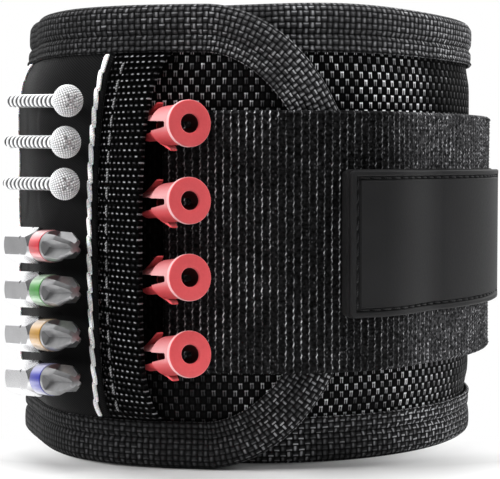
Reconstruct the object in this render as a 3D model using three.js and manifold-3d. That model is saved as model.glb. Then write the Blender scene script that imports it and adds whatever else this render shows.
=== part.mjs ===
// A padded magnetic wristband, standing on its lower edge and closed with its strap.
// Millimetres, +Z up. The origin is on the wrist axis, in the plane of the lower edge.
// The front of the band, with the strap and the load, faces -Y.
//
// The band is a spiral of a little over one turn: the inner turn (root) runs from its
// own end, under the front flap, round the right side and the back to a stitched fold
// line at the left. From there the flap carries on outside the inner turn and ends in
// a half-ellipse. Pieces are boxes and extrusions bent onto that spiral: "phi" is the
// angle in degrees from the front towards +X, and "n" is the height in mm above the
// lining's inner face.
import * as THREE from "three";
import { mergeVertices } from "three/addons/utils/BufferGeometryUtils.js";
import Module from "manifold-3d";

const wasm = await Module();
wasm.setup();

// ---------------------------------------------------------------- driving sizes
const H = 90; // height of the band, which is the width of the strip it is cut from
const R_IN = 43.4; // inner radius of the inner turn
const STEP = 5.6; // how much further out the flap runs over the inner turn
const RISE = [[225, 285, 4.0], [292, 322, 4.4], [324, 352, -2.8]]; // how the spiral climbs it, with a rounded corner at the left front: from, to, mm
const PHI_IN = -25; // the inner turn's own end, hidden under the flap
const PHI_FOLD = 279.5; // fold line between the inner turn and the flap
const FOLD_GAP = 0.22; // degrees left open on each side of the fold line
const FLAP_C = 348.5; // where the flap's half-ellipse begins
const FLAP_A = 32.5; // its length, outer edge of the binding
const FLAP_R = 53; // radius at which flap lengths are measured

const LINING = [0, 0.5], FOAM = [0.85, 2.45], SHELL = [2.8, 3.5];
const BIND_LEG = 9.2; // width of the binding on each face
const BIND_OUT = [3.8, 4.4], BIND_INN = [-0.8, -0.25];
const EDGE = 1.2; // the layers stop this far inside the bound edge

const PANEL_Z = [9.6, 80.4]; // magnet panels run between the bindings
const PANEL_T = 0.6; // fabric thickness of a panel
const MAGNET_D = 10, MAGNET_T = 1;
const MAGNET_ROWS = [22.5, 37.5, 52.5, 67.5];

const STRAP_Z = [19.0, 69.5]; // 50 mm webbing
const STRAP_T = 1.6;
const STRAP_FROM = 340.6, STRAP_PEEL = 376, STRAP_TAB = 445.1, STRAP_END = 458.5;
const LABEL = [377.4, 444.2], LABEL_Z = [30, 58], LABEL_T = 2.0, LABEL_LIFT = 2.2; // its left end stands off the strap
const LOOP = [387.5, 485], LOOP_Z = [21, 68], LOOP_N = [3.8, 5.0];
const HOOK = [392, 444.4], HOOK_T = 1.3;

const BIT_L = 25, HEX_AF = 6.35;
const BIT_Z = [43.48, 34.97, 26.47, 17.96];
const SCREW_Z = [71.39, 63.44, 55.38];
const SCREW_TILT = [1.77, 0.8, -0.35], BIT_TILT = [-1.4, -2.6, -3.8, -5.0], PLUG_TILT = [-2.0, -4.2, -6.4, -8.6]; // the load lies a little askew
const PLUG_Z = [66.64, 52.7, 38.75, 24.75];

// ---------------------------------------------------------------- the spiral
const DEG = Math.PI / 180;
const clamp01 = (t) => Math.min(1, Math.max(0, t));
const smooth = (t) => { t = clamp01(t); return t * t * (3 - 2 * t); };
const lerp = (a, b, t) => a + (b - a) * t;
const r0 = (phi) => R_IN + RISE.reduce((sum, [a, b, mm]) => sum + mm * smooth((phi - a) / (b - a)), 0);
const polar = (phi, r, z) => [r * Math.sin(phi * DEG), -r * Math.cos(phi * DEG), z];
const at = (phi, z, n) => polar(phi, r0(phi) + n, z);

// ---------------------------------------------------------------- materials
const finish = (color, roughness, metalness = 0) =>
  new THREE.MeshStandardMaterial({ color, roughness, metalness });
const M = {
  lining: finish(0x1b1b1c, 0.95),
  foam: finish(0x2b2b2d, 0.95),
  shell: finish(0x17181a, 0.75),
  binding: finish(0x202124, 0.8),
  panel: finish(0x1d1d1f, 0.85),
  backing: finish(0x161617, 0.9),
  magnet: finish(0xb9bcc0, 0.25, 1),
  thread: finish(0xf1f1ee, 0.7),
  elastic: finish(0x121213, 0.7),
  strap: finish(0x141415, 0.8),
  hook: finish(0x0f0f10, 0.85),
  loop: finish(0x1a1a1b, 0.98),
  label: finish(0x3a3a3c, 0.55),
  steel: finish(0xc9cacc, 0.28, 1),
  zinc: finish(0xd4d6d8, 0.3, 1),
  red: finish(0xd8454f, 0.45),
  ring: [0xc8303a, 0x3f9a3f, 0xc4912c, 0x3340a8].map((c) => finish(c, 0.35)),
};

const wristband = new THREE.Group();
function add(name, geometry, material, parent = wristband) {
  const mesh = new THREE.Mesh(geometry, material);
  mesh.name = name;
  parent.add(mesh);
  return mesh;
}

// ---------------------------------------------------------------- shaping tools
// Only position is left, with shared corners merged.
function bare(geometry) {
  geometry.deleteAttribute("normal");
  geometry.deleteAttribute("uv");
  const merged = mergeVertices(geometry, 1e-4);
  merged.computeVertexNormals();
  return merged;
}
// Moves each vertex of a geometry to fn(x, y, z).
function bend(geometry, fn) {
  const g = bare(geometry);
  const p = g.attributes.position;
  for (let i = 0; i < p.count; i++)
    p.setXYZ(i, ...fn(p.getX(i), p.getY(i), p.getZ(i)));
  g.computeVertexNormals();
  return g;
}
// A slab bent onto the spiral. u runs along the band, v up it and w through it.
function slab(uSteps, vSteps, fn, wSteps = 1) {
  return bend(new THREE.BoxGeometry(1, 1, 1, uSteps, vSteps, wSteps), (x, y, z) =>
    fn(x + 0.5, y + 0.5, z + 0.5));
}
const solid = (geometry) => {
  const g = bare(geometry.clone());
  return new wasm.Manifold(new wasm.Mesh({
    numProp: 3,
    vertProperties: new Float32Array(g.attributes.position.array),
    triVerts: new Uint32Array(g.index.array),
  }));
};
function geometryOf(manifold) {
  const m = manifold.getMesh();
  const pos = new Float32Array(m.numVert * 3);
  for (let i = 0; i < m.numVert; i++)
    for (let k = 0; k < 3; k++) pos[i * 3 + k] = m.vertProperties[i * m.numProp + k];
  const g = new THREE.BufferGeometry();
  g.setAttribute("position", new THREE.BufferAttribute(pos, 3));
  g.setIndex(new THREE.BufferAttribute(new Uint32Array(m.triVerts), 1));
  g.computeVertexNormals();
  return g;
}
// A lathe round +X, from [radius, x] points.
const turned = (points, segments) =>
  new THREE.LatheGeometry(points.map(([r, x]) => new THREE.Vector2(r, x)), segments)
    .rotateZ(-Math.PI / 2);

// ---------------------------------------------------------------- the flap's outline
const perDeg = (mm) => (mm / FLAP_R) / DEG;
function flapEnd(z, inset) {
  const b = H / 2 - inset;
  const t = clamp01(1 - ((z - H / 2) / b) ** 2);
  return FLAP_C + perDeg((FLAP_A - inset) * Math.sqrt(t));
}

// ---------------------------------------------------------------- layers
const rootFrom = PHI_IN + perDeg(EDGE), rootTo = PHI_FOLD - FOLD_GAP;
const flapFrom = PHI_FOLD + FOLD_GAP;
const rootLayer = ([a, b]) => slab(44, 1, (u, v, w) =>
  at(lerp(rootFrom, rootTo, u), lerp(EDGE, H - EDGE, v), lerp(a, b, w)));
const FLAP_COLS = 16, FLAP_SPLIT = 10 / FLAP_COLS, FLAP_ROWS = 10;
function flapLayer([a, b]) {
  return slab(FLAP_COLS, FLAP_ROWS, (u, v, w) => {
    const z = H / 2 - (H / 2 - EDGE) * Math.cos(Math.PI * v);
    const end = flapEnd(z, EDGE);
    const phi = u <= FLAP_SPLIT + 1e-9
      ? lerp(flapFrom, FLAP_C - 3, u / FLAP_SPLIT)
      : lerp(FLAP_C - 3, end, (u - FLAP_SPLIT) / (1 - FLAP_SPLIT));
    return at(phi, z, lerp(a, b, w));
  });
}
add("lining_root", rootLayer(LINING), M.lining);
add("foam_core_root", rootLayer(FOAM), M.foam);
add("outer_shell_root", rootLayer(SHELL), M.shell);
add("lining_flap", flapLayer(LINING), M.lining);
add("foam_core_flap", flapLayer(FOAM), M.foam);
add("outer_shell_flap", flapLayer(SHELL), M.shell);

// ---------------------------------------------------------------- folded binding tape
// Section in x = n and y = distance in from the edge, swept along an outline of the band.
const bindShape = new THREE.Shape([
  [BIND_OUT[1], BIND_LEG], [BIND_OUT[0], BIND_LEG], [BIND_OUT[0], 0.9], [BIND_INN[1], 0.9],
  [BIND_INN[1], BIND_LEG], [BIND_INN[0], BIND_LEG], [BIND_INN[0], 0.8], [0.1, 0],
  [3.5, 0], [BIND_OUT[1], 0.8],
].map(([x, y]) => new THREE.Vector2(x, y)));
function binding(path) {
  // path: [phi, z, inward phi (mm), inward z (mm)] with the band on the right hand
  const steps = path.length - 1;
  const g = new THREE.ExtrudeGeometry(bindShape, { depth: 1, steps, bevelEnabled: false });
  return bend(g, (n, d, t) => {
    const [phi, z, ip, iz] = path[Math.round(t * steps)];
    return at(phi + perDeg(ip * d), z + iz * d, n);
  });
}
const flapPath = [];
for (let i = 0; i <= 11; i++) flapPath.push([lerp(flapFrom, FLAP_C, i / 11), H, 0, -1]);
for (let i = 1; i < 16; i++) {
  const t = Math.PI / 2 - (Math.PI * i) / 16;
  const a = FLAP_A, b = H / 2;
  const nx = Math.cos(t) / a, nz = Math.sin(t) / b, l = Math.hypot(nx, nz);
  flapPath.push([FLAP_C + perDeg(a * Math.cos(t)), H / 2 + b * Math.sin(t), -nx / l, -nz / l]);
}
for (let i = 11; i >= 0; i--) flapPath.push([lerp(flapFrom, FLAP_C, i / 11), 0, 0, 1]);
const rootPath = []; // mitred at the two corners of the inner turn's end
const rootRun = PHI_IN + 13;
for (let i = 38; i >= 0; i--) rootPath.push([lerp(rootRun, rootTo, i / 38), 0, 0, 1]);
rootPath.push([PHI_IN + 6.5, 0, 0.47, 1], [PHI_IN, 0, 1, 1]);
rootPath.push([PHI_IN, H, 1, -1], [PHI_IN + 6.5, H, 0.47, -1]);
for (let i = 0; i <= 38; i++) rootPath.push([lerp(rootRun, rootTo, i / 38), H, 0, -1]);
add("binding_tape_root", binding(rootPath), M.binding);
add("binding_tape_flap", binding(flapPath), M.binding);

// ---------------------------------------------------------------- magnet panels
const rise = (z) => 1 - Math.abs((z - H / 2) / 35.6) ** 12; // 1 over the middle, 0 at the bindings
const bow = (z, top, bottom) => (z > H / 2 ? top : bottom) * Math.abs((z - H / 2) / 35.8) ** 2.2; // the pocket's mouth bows towards the left
const mouthLeft = (z) => 327.9 + bow(z, 3.2, 1.6);
const mouthRight = (z) => 339.7 + bow(z, 2.6, 0.6);
// Front panel of the pocket on the flap: free at its right edge, stitched at its left.
const pocketTop = (phi, z) => {
  const k = smooth((phi - 280.6) / 10) * rise(z);
  return 4.8 + 1.75 * k; // outer face
};
const PANEL_FROM = 280.4;
add("pocket_panel", slab(11, 10, (u, v, w) => {
  const z = H / 2 + (PANEL_Z[1] - H / 2) * Math.sin(Math.PI * (v - 0.5));
  const phi = lerp(PANEL_FROM, mouthLeft(z) - 0.5, u);
  return at(phi, z, pocketTop(phi, z) - PANEL_T * (1 - w));
}), M.panel);
add("pocket_backing", slab(11, 4, (u, v, w) => {
  const z = lerp(PANEL_Z[0] + 0.8, PANEL_Z[1] - 0.8, v);
  const phi = lerp(PANEL_FROM + 2.2, mouthLeft(z) - 1.2, u);
  return at(phi, z, lerp(3.75, 4.1, w));
}), M.backing);
// Panel over the second group of magnets, on the inner turn behind the fold.
const BACK = [235, 274.5];
const backTop = (phi, z) => {
  const k = smooth((BACK[1] - phi) / 4.2) * smooth((phi - BACK[0]) / 4.2) * rise(z);
  return 4.45 + 1.75 * k;
};
add("magnet_panel_rear", slab(11, 8, (u, v, w) => {
  const z = H / 2 + (PANEL_Z[1] - H / 2) * Math.sin(Math.PI * (v - 0.5));
  const phi = lerp(BACK[0], BACK[1], u);
  return at(phi, z, backTop(phi, z) - PANEL_T * (1 - w));
}), M.panel);
// Disc magnets, each lying flat on the band.
function magnet(name, phi, z, n) {
  const disc = new THREE.CylinderGeometry(MAGNET_D / 2, MAGNET_D / 2, MAGNET_T, 14);
  const holder = new THREE.Group();
  holder.rotation.z = phi * DEG; // turns -Y to the radial direction at phi
  const mesh = add(name, bare(disc), M.magnet, holder);
  mesh.position.set(0, -(r0(phi) + n + MAGNET_T / 2), z);
  const slope = (r0(phi + 1) - r0(phi - 1)) / (2 * DEG * (r0(phi) + n));
  mesh.rotation.z = -Math.atan(slope);
  wristband.add(holder);
}
MAGNET_ROWS.forEach((z, i) => {
  magnet(`magnet_front_left_${i + 1}`, 293.5, z, 4.3);
  magnet(`magnet_front_right_${i + 1}`, 313.5, z, 4.3);
  magnet(`magnet_rear_left_${i + 1}`, 246, z, 3.72);
  magnet(`magnet_rear_right_${i + 1}`, 263.5, z, 3.72);
});

// ---------------------------------------------------------------- white thread rows
function threadRow(name, phiOf, topOf) {
  const g = new THREE.CylinderGeometry(0.42, 0.42, 1, 6, 12);
  add(name, bend(g, (x, y, z) => {
    const h = lerp(PANEL_Z[0] + 0.4, PANEL_Z[1] - 0.4, y + 0.5);
    const phi = phiOf(h);
    return at(phi + perDeg(x), h, topOf(phi, h) + 0.68 + z);
  }), M.thread);
}
threadRow("thread_pocket_right", (z) => mouthLeft(z) - 1.75, pocketTop);
threadRow("thread_pocket_left", () => 290.4, pocketTop);
threadRow("thread_rear_right", () => 271.9, backTop);
threadRow("thread_rear_left", () => 237.6, backTop);

// ---------------------------------------------------------------- elastic at the pocket's mouth
// A woven elastic tape whose free right edge stands off the shell.
const mouthIn = (u, z) => 3.95 + (1.0 + 8.1 * u) * (1 - Math.abs((z - H / 2) / 35.8) ** 7);
add("pocket_elastic", slab(4, 12, (u, v, w) => {
  const z = H / 2 + (PANEL_Z[1] - H / 2) * Math.sin(Math.PI * (v - 0.5));
  const phi = lerp(mouthLeft(z), mouthRight(z), u);
  return at(phi, z, mouthIn(u, z) + 1.2 * w);
}), M.elastic);

// ---------------------------------------------------------------- closing strap
// Radius of the strap's inner face: on the flap, over its bound tip, then down onto the hooks.
const strapIn = (phi) => {
  const onFlap = r0(phi) + 3.8 + 0.9 * smooth((phi - 358) / 7);
  return lerp(onFlap, R_IN + 6.9, smooth((phi - 385) / 19));
};
const strapPart = (from, to, steps) => slab(steps, 1, (u, v, w) => {
  const phi = lerp(from, to, u);
  return polar(phi, strapIn(phi) + STRAP_T * w, lerp(STRAP_Z[0], STRAP_Z[1], v));
});
add("strap_root", strapPart(STRAP_FROM, STRAP_PEEL - 0.2, 8), M.strap);
add("strap_free", strapPart(STRAP_PEEL + 0.2, STRAP_TAB - 0.2, 16), M.strap);
// The pull tab has its two outer corners cut off.
add("strap_pull_tab", slab(4, 2, (u, v, w) => {
  const phi = lerp(STRAP_TAB + 0.2, STRAP_END, u);
  const cut = 5 * Math.max(0, (u - 0.5) / 0.5);
  const z = lerp(STRAP_Z[0] + cut, STRAP_Z[1] - cut, v);
  return polar(phi, strapIn(phi) + STRAP_T * w, z);
}), M.strap);
add("hook_tape", slab(12, 1, (u, v, w) => {
  const phi = lerp(HOOK[0], HOOK[1], u);
  return polar(phi, strapIn(phi) - 0.3 - HOOK_T * (1 - w), lerp(22, 67, v));
}), M.hook);
add("loop_tape", slab(16, 1, (u, v, w) =>
  at(lerp(LOOP[0], LOOP[1], u) - 360, lerp(LOOP_Z[0], LOOP_Z[1], v), lerp(LOOP_N[0], LOOP_N[1], w))), M.loop);
// Rubber badge: a plate with a raised rim, made as a plate less a shallow pan.
const badge = (inset, low, high) => slab(14, 1, (u, v, w) => {
  const phi = lerp(LABEL[0] + perDeg(inset), LABEL[1] - perDeg(inset), u);
  return polar(phi, strapIn(phi) + STRAP_T + 0.3 + LABEL_LIFT * (1 - smooth((phi - LABEL[0]) / 24)) + lerp(low, high, w), lerp(LABEL_Z[0] + inset, LABEL_Z[1] - inset, v));
});
add("rubber_badge", geometryOf(solid(badge(0, 0, LABEL_T)).subtract(solid(badge(2.0, 1.45, LABEL_T + 1)))), M.label);

// ---------------------------------------------------------------- the load: screws, bits and wall plugs
// Each lies along +X of a holder that stands at its place on the flap.
function holderAt(x, y, z, turn, tilt = 0) {
  const g = new THREE.Group();
  g.position.set(x, y, z);
  g.rotation.set(0, tilt * DEG, turn * DEG, "ZYX");
  wristband.add(g);
  return g;
}
const box = (lx, ly, lz) => new THREE.BoxGeometry(lx, ly, lz);

// Round-head screw: origin at the head's seat, shank towards -X.
function screwGeometry() {
  const head = turned([[0, -0.1], [3.0, -0.1], [3.05, 0.7], [2.82, 1.65], [2.2, 2.5], [1.3, 3.05], [0, 3.2]], 20);
  const shank = turned([[0, -27], [1.0, -26.8], [1.35, -25.8], [1.35, 0.3], [0, 0.3]], 12);
  let s = solid(head).add(solid(shank));
  for (const turn of [0, 90])
    s = s.subtract(solid(box(3, 0.95, 3.6).translate(3.0, 0, 0).rotateX((turn + 45) * DEG)));
  return geometryOf(s);
}
// Insert bit: hexagon tail at x = 0, cross tip at x = 25, a narrow waist for the colour sleeve.
function bitGeometry() {
  const rc = HEX_AF / Math.sqrt(3);
  const hex = new THREE.CylinderGeometry(rc, rc, 11.3, 6).rotateZ(-Math.PI / 2).translate(5.65, 0, 0);
  const chamfer = turned([[0, 0], [3.1, 0], [3.75, 0.8], [3.75, 9.9], [2.9, 11.3], [0, 11.3]], 18);
  const front = turned([[0, 11], [2.35, 11], [2.35, 15.9], [3.05, 15.9], [3.1, 16.4], [3.1, 20.4], [1.5, 23.5], [1.2, 24.6], [0.95, 25], [0, 25]], 16);
  let s = solid(hex).intersect(solid(chamfer)).add(solid(front));
  for (let k = 0; k < 4; k++) { // the four flutes of the cross tip, deepening towards the end
    const side = 5.2;
    const cut = box(14, side, side).rotateX(45 * DEG).translate(7, 0, side / Math.SQRT2)
      .rotateY(14.5 * DEG).translate(16.3, 0, 3.1).rotateX(90 * k * DEG);
    s = s.subtract(solid(cut));
  }
  for (let k = 0; k < 6; k++) // holding notches on the six corners
    s = s.subtract(solid(box(1.5, 1.6, 1.2).translate(7.6, 0, rc + 0.25).rotateX(60 * k * DEG)));
  return geometryOf(s);
}
const sleeveGeometry = () => turned([[2.65, 11.5], [3.12, 11.5], [3.2, 11.8], [3.2, 15.3], [3.12, 15.6], [2.65, 15.6], [2.65, 11.5]], 16);
// Wall plug: tail at x = 0.8, split into an upper and a lower leg; collar face at x = 18.5.
const PLUG_L = 18.5, PLUG_SLIT = 14.6;
function plugGeometry() {
  const b = 1.75;
  let s = solid(turned([[b, 0.8], [2.35, 0.8], [2.6, 1.6], [2.6, 5.6], [3.15, 8.0], [3.7, 9.3], [3.7, 17.3],
    [4.05, 17.3], [4.3, 17.55], [4.3, PLUG_L - 0.25], [4.1, PLUG_L], [b, PLUG_L], [b, 0.8]], 18));
  s = s.subtract(solid(box(PLUG_SLIT, 12, 1.9).translate(PLUG_SLIT / 2 - 0.9, 0, 0)))
    .subtract(solid(new THREE.CylinderGeometry(0.95, 0.95, 12, 14).translate(PLUG_SLIT - 0.95, 0, 0)));
  // sprung barbs that leave the upper and the lower leg
  s = s.add(solid(box(4.6, 1.7, 0.65).translate(2.3, 0, 0).rotateY(-20 * DEG).translate(1.6, 0, 2.4)))
    .add(solid(box(4.3, 1.7, 0.65).translate(2.15, 0, 0).rotateY(24 * DEG).translate(7.6, 0, -2.9)));
  return geometryOf(s.subtract(solid(new THREE.CylinderGeometry(b, b, 60, 18).rotateZ(Math.PI / 2))));
}
const screws = SCREW_Z.map((z, i) => add(`screw_${i + 1}`, screwGeometry(), M.zinc, holderAt(-36.87 - [0, 0.5, 0.8][i], -50.65 + [0, 0.3, 0.5][i], z, -57.5, SCREW_TILT[i])));
const bits = BIT_Z.map((z, i) => {
  const h = holderAt(-48.5, -35.6, z + 25 * Math.sin(BIT_TILT[i] * DEG), -55.95, BIT_TILT[i]);
  add(`bit_${i + 1}`, bitGeometry(), M.steel, h);
  add(`bit_sleeve_${i + 1}`, sleeveGeometry(), M.ring[i], h);
  return h;
});
PLUG_Z.forEach((z, i) => {
  const t = PLUG_TILT[i] * DEG, back = PLUG_L * Math.cos(t);
  add(`wall_plug_${i + 1}`, plugGeometry(), M.red, holderAt(-12.16 - back * 0.4848, -69.0 + back * 0.8746, z + PLUG_L * Math.sin(t), -61, PLUG_TILT[i]));
});

export default wristband;
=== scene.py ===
# Looks of the padded magnetic wristband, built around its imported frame.
# Shapes are worked out in millimetres on the band's own spiral and stored in metres.
import math

import bmesh
import bpy
import numpy as np
from mathutils import Matrix, Vector


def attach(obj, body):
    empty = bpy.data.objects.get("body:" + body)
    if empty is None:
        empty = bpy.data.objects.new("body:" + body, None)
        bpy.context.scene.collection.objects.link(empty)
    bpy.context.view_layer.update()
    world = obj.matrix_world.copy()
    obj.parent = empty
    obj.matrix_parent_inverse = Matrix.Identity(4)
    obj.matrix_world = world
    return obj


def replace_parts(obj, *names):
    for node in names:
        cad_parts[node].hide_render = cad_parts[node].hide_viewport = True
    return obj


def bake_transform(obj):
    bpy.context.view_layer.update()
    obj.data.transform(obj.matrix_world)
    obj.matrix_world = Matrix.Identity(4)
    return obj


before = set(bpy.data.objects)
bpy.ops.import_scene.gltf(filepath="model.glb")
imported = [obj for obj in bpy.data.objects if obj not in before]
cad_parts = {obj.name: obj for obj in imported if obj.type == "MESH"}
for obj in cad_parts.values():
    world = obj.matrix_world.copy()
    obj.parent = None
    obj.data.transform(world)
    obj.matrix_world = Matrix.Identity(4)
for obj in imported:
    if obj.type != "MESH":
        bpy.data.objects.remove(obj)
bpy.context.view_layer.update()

# ------------------------------------------------------------------ sizes, as in the frame
H = 90.0
R_IN, STEP = 43.4, 5.6
PHI_IN, PHI_FOLD, FLAP_C, FLAP_A, FLAP_R = -25.0, 279.5, 348.5, 32.5, 53.0
SEAM = 247.0  # the two lengths of the wall meet here, under the rear panel
EDGE = 1.2
STRAP_T, STRAP_Z0, STRAP_Z1 = 1.6, 19.0, 69.5
STRAP_FROM, STRAP_PEEL, STRAP_TAB, STRAP_END = 340.6, 376.0, 445.1, 458.5
DEG = math.pi / 180
ELASTIC_ROW, ELASTIC_COL, RIB = 1.2, 1.37, 1.45  # pitch of the elastic's beads and of the strap's lines
THREAD, STUD = 1.98, 0.55  # pitch of the screw thread and of the studs on its head


def smooth(t):
    t = np.clip(t, 0, 1)
    return t * t * (3 - 2 * t)


def lerp(a, b, t):
    return a + (b - a) * t


def r0(p):
    p = np.asarray(p, float)
    return R_IN + 4.0 * smooth((p - 225) / 60) + 4.4 * smooth((p - 292) / 30) - 2.8 * smooth((p - 324) / 28)


def polar(p, r, z):
    p, r, z = np.broadcast_arrays(np.asarray(p, float), np.asarray(r, float), np.asarray(z, float))
    return np.stack([r * np.sin(p * DEG), -r * np.cos(p * DEG), z], -1)


def at(p, z, n):
    """A point n mm above the lining's inner face. The soft upper edge draws in at the left and stands up at the right front."""
    p, z = np.asarray(p, float), np.asarray(z, float)
    top = smooth((z - 70) / 20)
    lean = 1.6 * top * smooth((p - 255) / 20) * smooth((306 - p) / 18)
    rise = 0.9 * top * np.exp(-((p - 22) / 24) ** 2)
    return polar(p, r0(p) + n - lean, z + rise)


def per_deg(mm):
    return mm / FLAP_R / DEG


def flap_end(z, inset):
    b = H / 2 - inset
    return FLAP_C + per_deg((FLAP_A - inset) * np.sqrt(np.clip(1 - ((z - H / 2) / b) ** 2, 0, 1)))


def strap_in(p):
    on_flap = r0(p) + 3.8 + 0.9 * smooth((p - 358) / 7)
    return lerp(on_flap, R_IN + 6.9, smooth((p - 385) / 19))


def bow(z, top, bottom):
    return np.where(z > H / 2, top, bottom) * np.abs((z - H / 2) / 35.8) ** 2.2


def mouth_left(z):
    return 327.9 + bow(z, 3.2, 1.6)


def mouth_right(z):
    return 339.9 + bow(z, 2.6, 0.6)


def mouth_in(u, z):
    return 3.95 + (1.0 + 7.7 * u) * (1 - np.abs((z - H / 2) / 35.8) ** 7)


_tp = np.linspace(-60, 520, 5801)
_tr = r0(_tp) + 3.5
_ts = np.concatenate([[0], np.cumsum((_tr[1:] + _tr[:-1]) / 2 * np.diff(_tp) * DEG)])


def arc(p):
    return np.interp(p, _tp, _ts)


def noise1(n, scale, seed):
    """A smooth random row of n values, about -1 to 1, with a step of `scale` samples."""
    r = np.random.default_rng(seed)
    m = int(n / scale) + 4
    return np.interp(np.arange(n) / scale, np.arange(m), r.uniform(-1, 1, m))


def noise2(nu, nv, su, sv, seed):
    r = np.random.default_rng(seed)
    mu, mv = int(nu / su) + 3, int(nv / sv) + 3
    g = r.uniform(-1, 1, (mu, mv))
    u, v = np.arange(nu) / su, np.arange(nv) / sv
    iu, iv = u.astype(int), v.astype(int)
    fu, fv = smooth(u - iu)[:, None], smooth(v - iv)[None, :]
    a, b = g[iu][:, iv], g[iu + 1][:, iv]
    c, d = g[iu][:, iv + 1], g[iu + 1][:, iv + 1]
    return (a * (1 - fu) + b * fu) * (1 - fv) + (c * (1 - fu) + d * fu) * fv


# ------------------------------------------------------------------ meshes from arrays
def mesh_of(name, verts, quads, uvs=None, tris=None, flat=False):
    """verts in mm; quads (n,4) and tris (m,3) of indices; uvs per corner in the same order."""
    me = bpy.data.meshes.new(name)
    quads = np.asarray(quads, np.int32).reshape(-1, 4)
    tris = np.zeros((0, 3), np.int32) if tris is None else np.asarray(tris, np.int32).reshape(-1, 3)
    loops = np.concatenate([quads.ravel(), tris.ravel()])
    starts = np.concatenate([np.arange(len(quads)) * 4, len(quads) * 4 + np.arange(len(tris)) * 3])
    me.vertices.add(len(verts))
    me.vertices.foreach_set("co", (np.asarray(verts, np.float64) * 0.001).astype(np.float32).ravel())
    me.loops.add(len(loops))
    me.loops.foreach_set("vertex_index", loops)
    me.polygons.add(len(starts))
    me.polygons.foreach_set("loop_start", starts.astype(np.int32))
    me.update(calc_edges=True)
    if uvs is not None:
        layer = me.uv_layers.new(name="UVMap")
        layer.data.foreach_set("uv", np.asarray(uvs, np.float32).ravel())
    me.polygons.foreach_set("use_smooth", np.full(len(me.polygons), not flat))
    me.validate()
    me.update()
    o = bpy.data.objects.new(name, me)
    bpy.context.scene.collection.objects.link(o)
    return o


class Soup:
    """Collects grids into one mesh."""

    def __init__(self):
        self.v, self.q, self.t, self.uq, self.ut, self.n = [], [], [], [], [], 0

    def grid(self, P, UV=None, wrap_u=False, wrap_v=False, flip=False):
        nu, nv = P.shape[:2]
        if UV is None:
            UV = np.zeros((nu + 1, nv + 1, 2))
        else:  # one more row and column, for corners past a wrap
            UV = np.concatenate([UV, 2 * UV[-1:] - UV[-2:-1]], 0) if UV.shape[0] == nu else UV
            UV = np.concatenate([UV, 2 * UV[:, -1:] - UV[:, -2:-1]], 1) if UV.shape[1] == nv else UV
        i, j = np.meshgrid(np.arange(nu if wrap_u else nu - 1), np.arange(nv if wrap_v else nv - 1), indexing="ij")
        i, j = i.ravel(), j.ravel()
        I, J = (i + 1) % nu, (j + 1) % nv
        q = np.stack([i * nv + j, I * nv + j, I * nv + J, i * nv + J], 1) + self.n
        uv = np.stack([UV[i, j], UV[i + 1, j], UV[i + 1, j + 1], UV[i, j + 1]], 1)
        if flip:
            q, uv = q[:, ::-1], uv[:, ::-1]
        self.v.append(P.reshape(-1, 3))
        self.q.append(q)
        self.uq.append(uv)
        base = self.n
        self.n += nu * nv
        return base

    def fan(self, ring, centre, uv=None, flip=False):
        """Closes a ring of vertex indices with a fan to a new centre point."""
        self.v.append(np.asarray(centre, float).reshape(1, 3))
        c = self.n
        self.n += 1
        ring = np.asarray(ring)
        t = np.stack([ring, np.roll(ring, -1), np.full(len(ring), c)], 1)
        if flip:
            t = t[:, ::-1]
        self.t.append(t)
        self.ut.append(np.zeros((len(ring), 3, 2)) if uv is None else np.broadcast_to(uv, (len(ring), 3, 2)))

    def faces(self):
        """How many four-sided faces there are so far."""
        return sum(len(q) for q in self.q)

    def quads(self, q, uv=None):
        q = np.asarray(q).reshape(-1, 4)
        self.q.append(q)
        self.uq.append(np.zeros((len(q), 4, 2)) if uv is None else uv)

    def object(self, name, flat=False):
        v = np.concatenate(self.v)
        q = np.concatenate(self.q) if self.q else np.zeros((0, 4), int)
        t = np.concatenate(self.t) if self.t else np.zeros((0, 3), int)
        uv = np.concatenate([np.concatenate(self.uq).reshape(-1, 2) if self.uq else np.zeros((0, 2)),
                             np.concatenate(self.ut).reshape(-1, 2) if self.ut else np.zeros((0, 2))])
        return mesh_of(name, v, q, uv, t, flat)


def slab(name, out, inn, UV):
    """A closed sheet between an outer and an inner grid of the same shape."""
    s = Soup()
    nu, nv = out.shape[:2]
    ring = np.concatenate([out, inn[:, ::-1]], 1)
    uv = np.concatenate([UV, UV[:, ::-1], UV[:, :1]], 1)
    uv = np.concatenate([uv, uv[-1:]], 0)
    s.grid(ring, uv, wrap_v=True)
    m = 2 * nv
    j = np.arange(nv - 1)
    first = np.stack([j, j + 1, m - 2 - j, m - 1 - j], 1)
    last = ((nu - 1) * m + first)[:, ::-1]
    cu = np.concatenate([UV[0, j], UV[0, j + 1], UV[0, j + 1], UV[0, j]], 1).reshape(-1, 4, 2)
    s.quads(first, cu)
    s.quads(last, np.concatenate([UV[-1, j], UV[-1, j + 1], UV[-1, j + 1], UV[-1, j]], 1).reshape(-1, 4, 2)[:, ::-1])
    return s.object(name)


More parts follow.
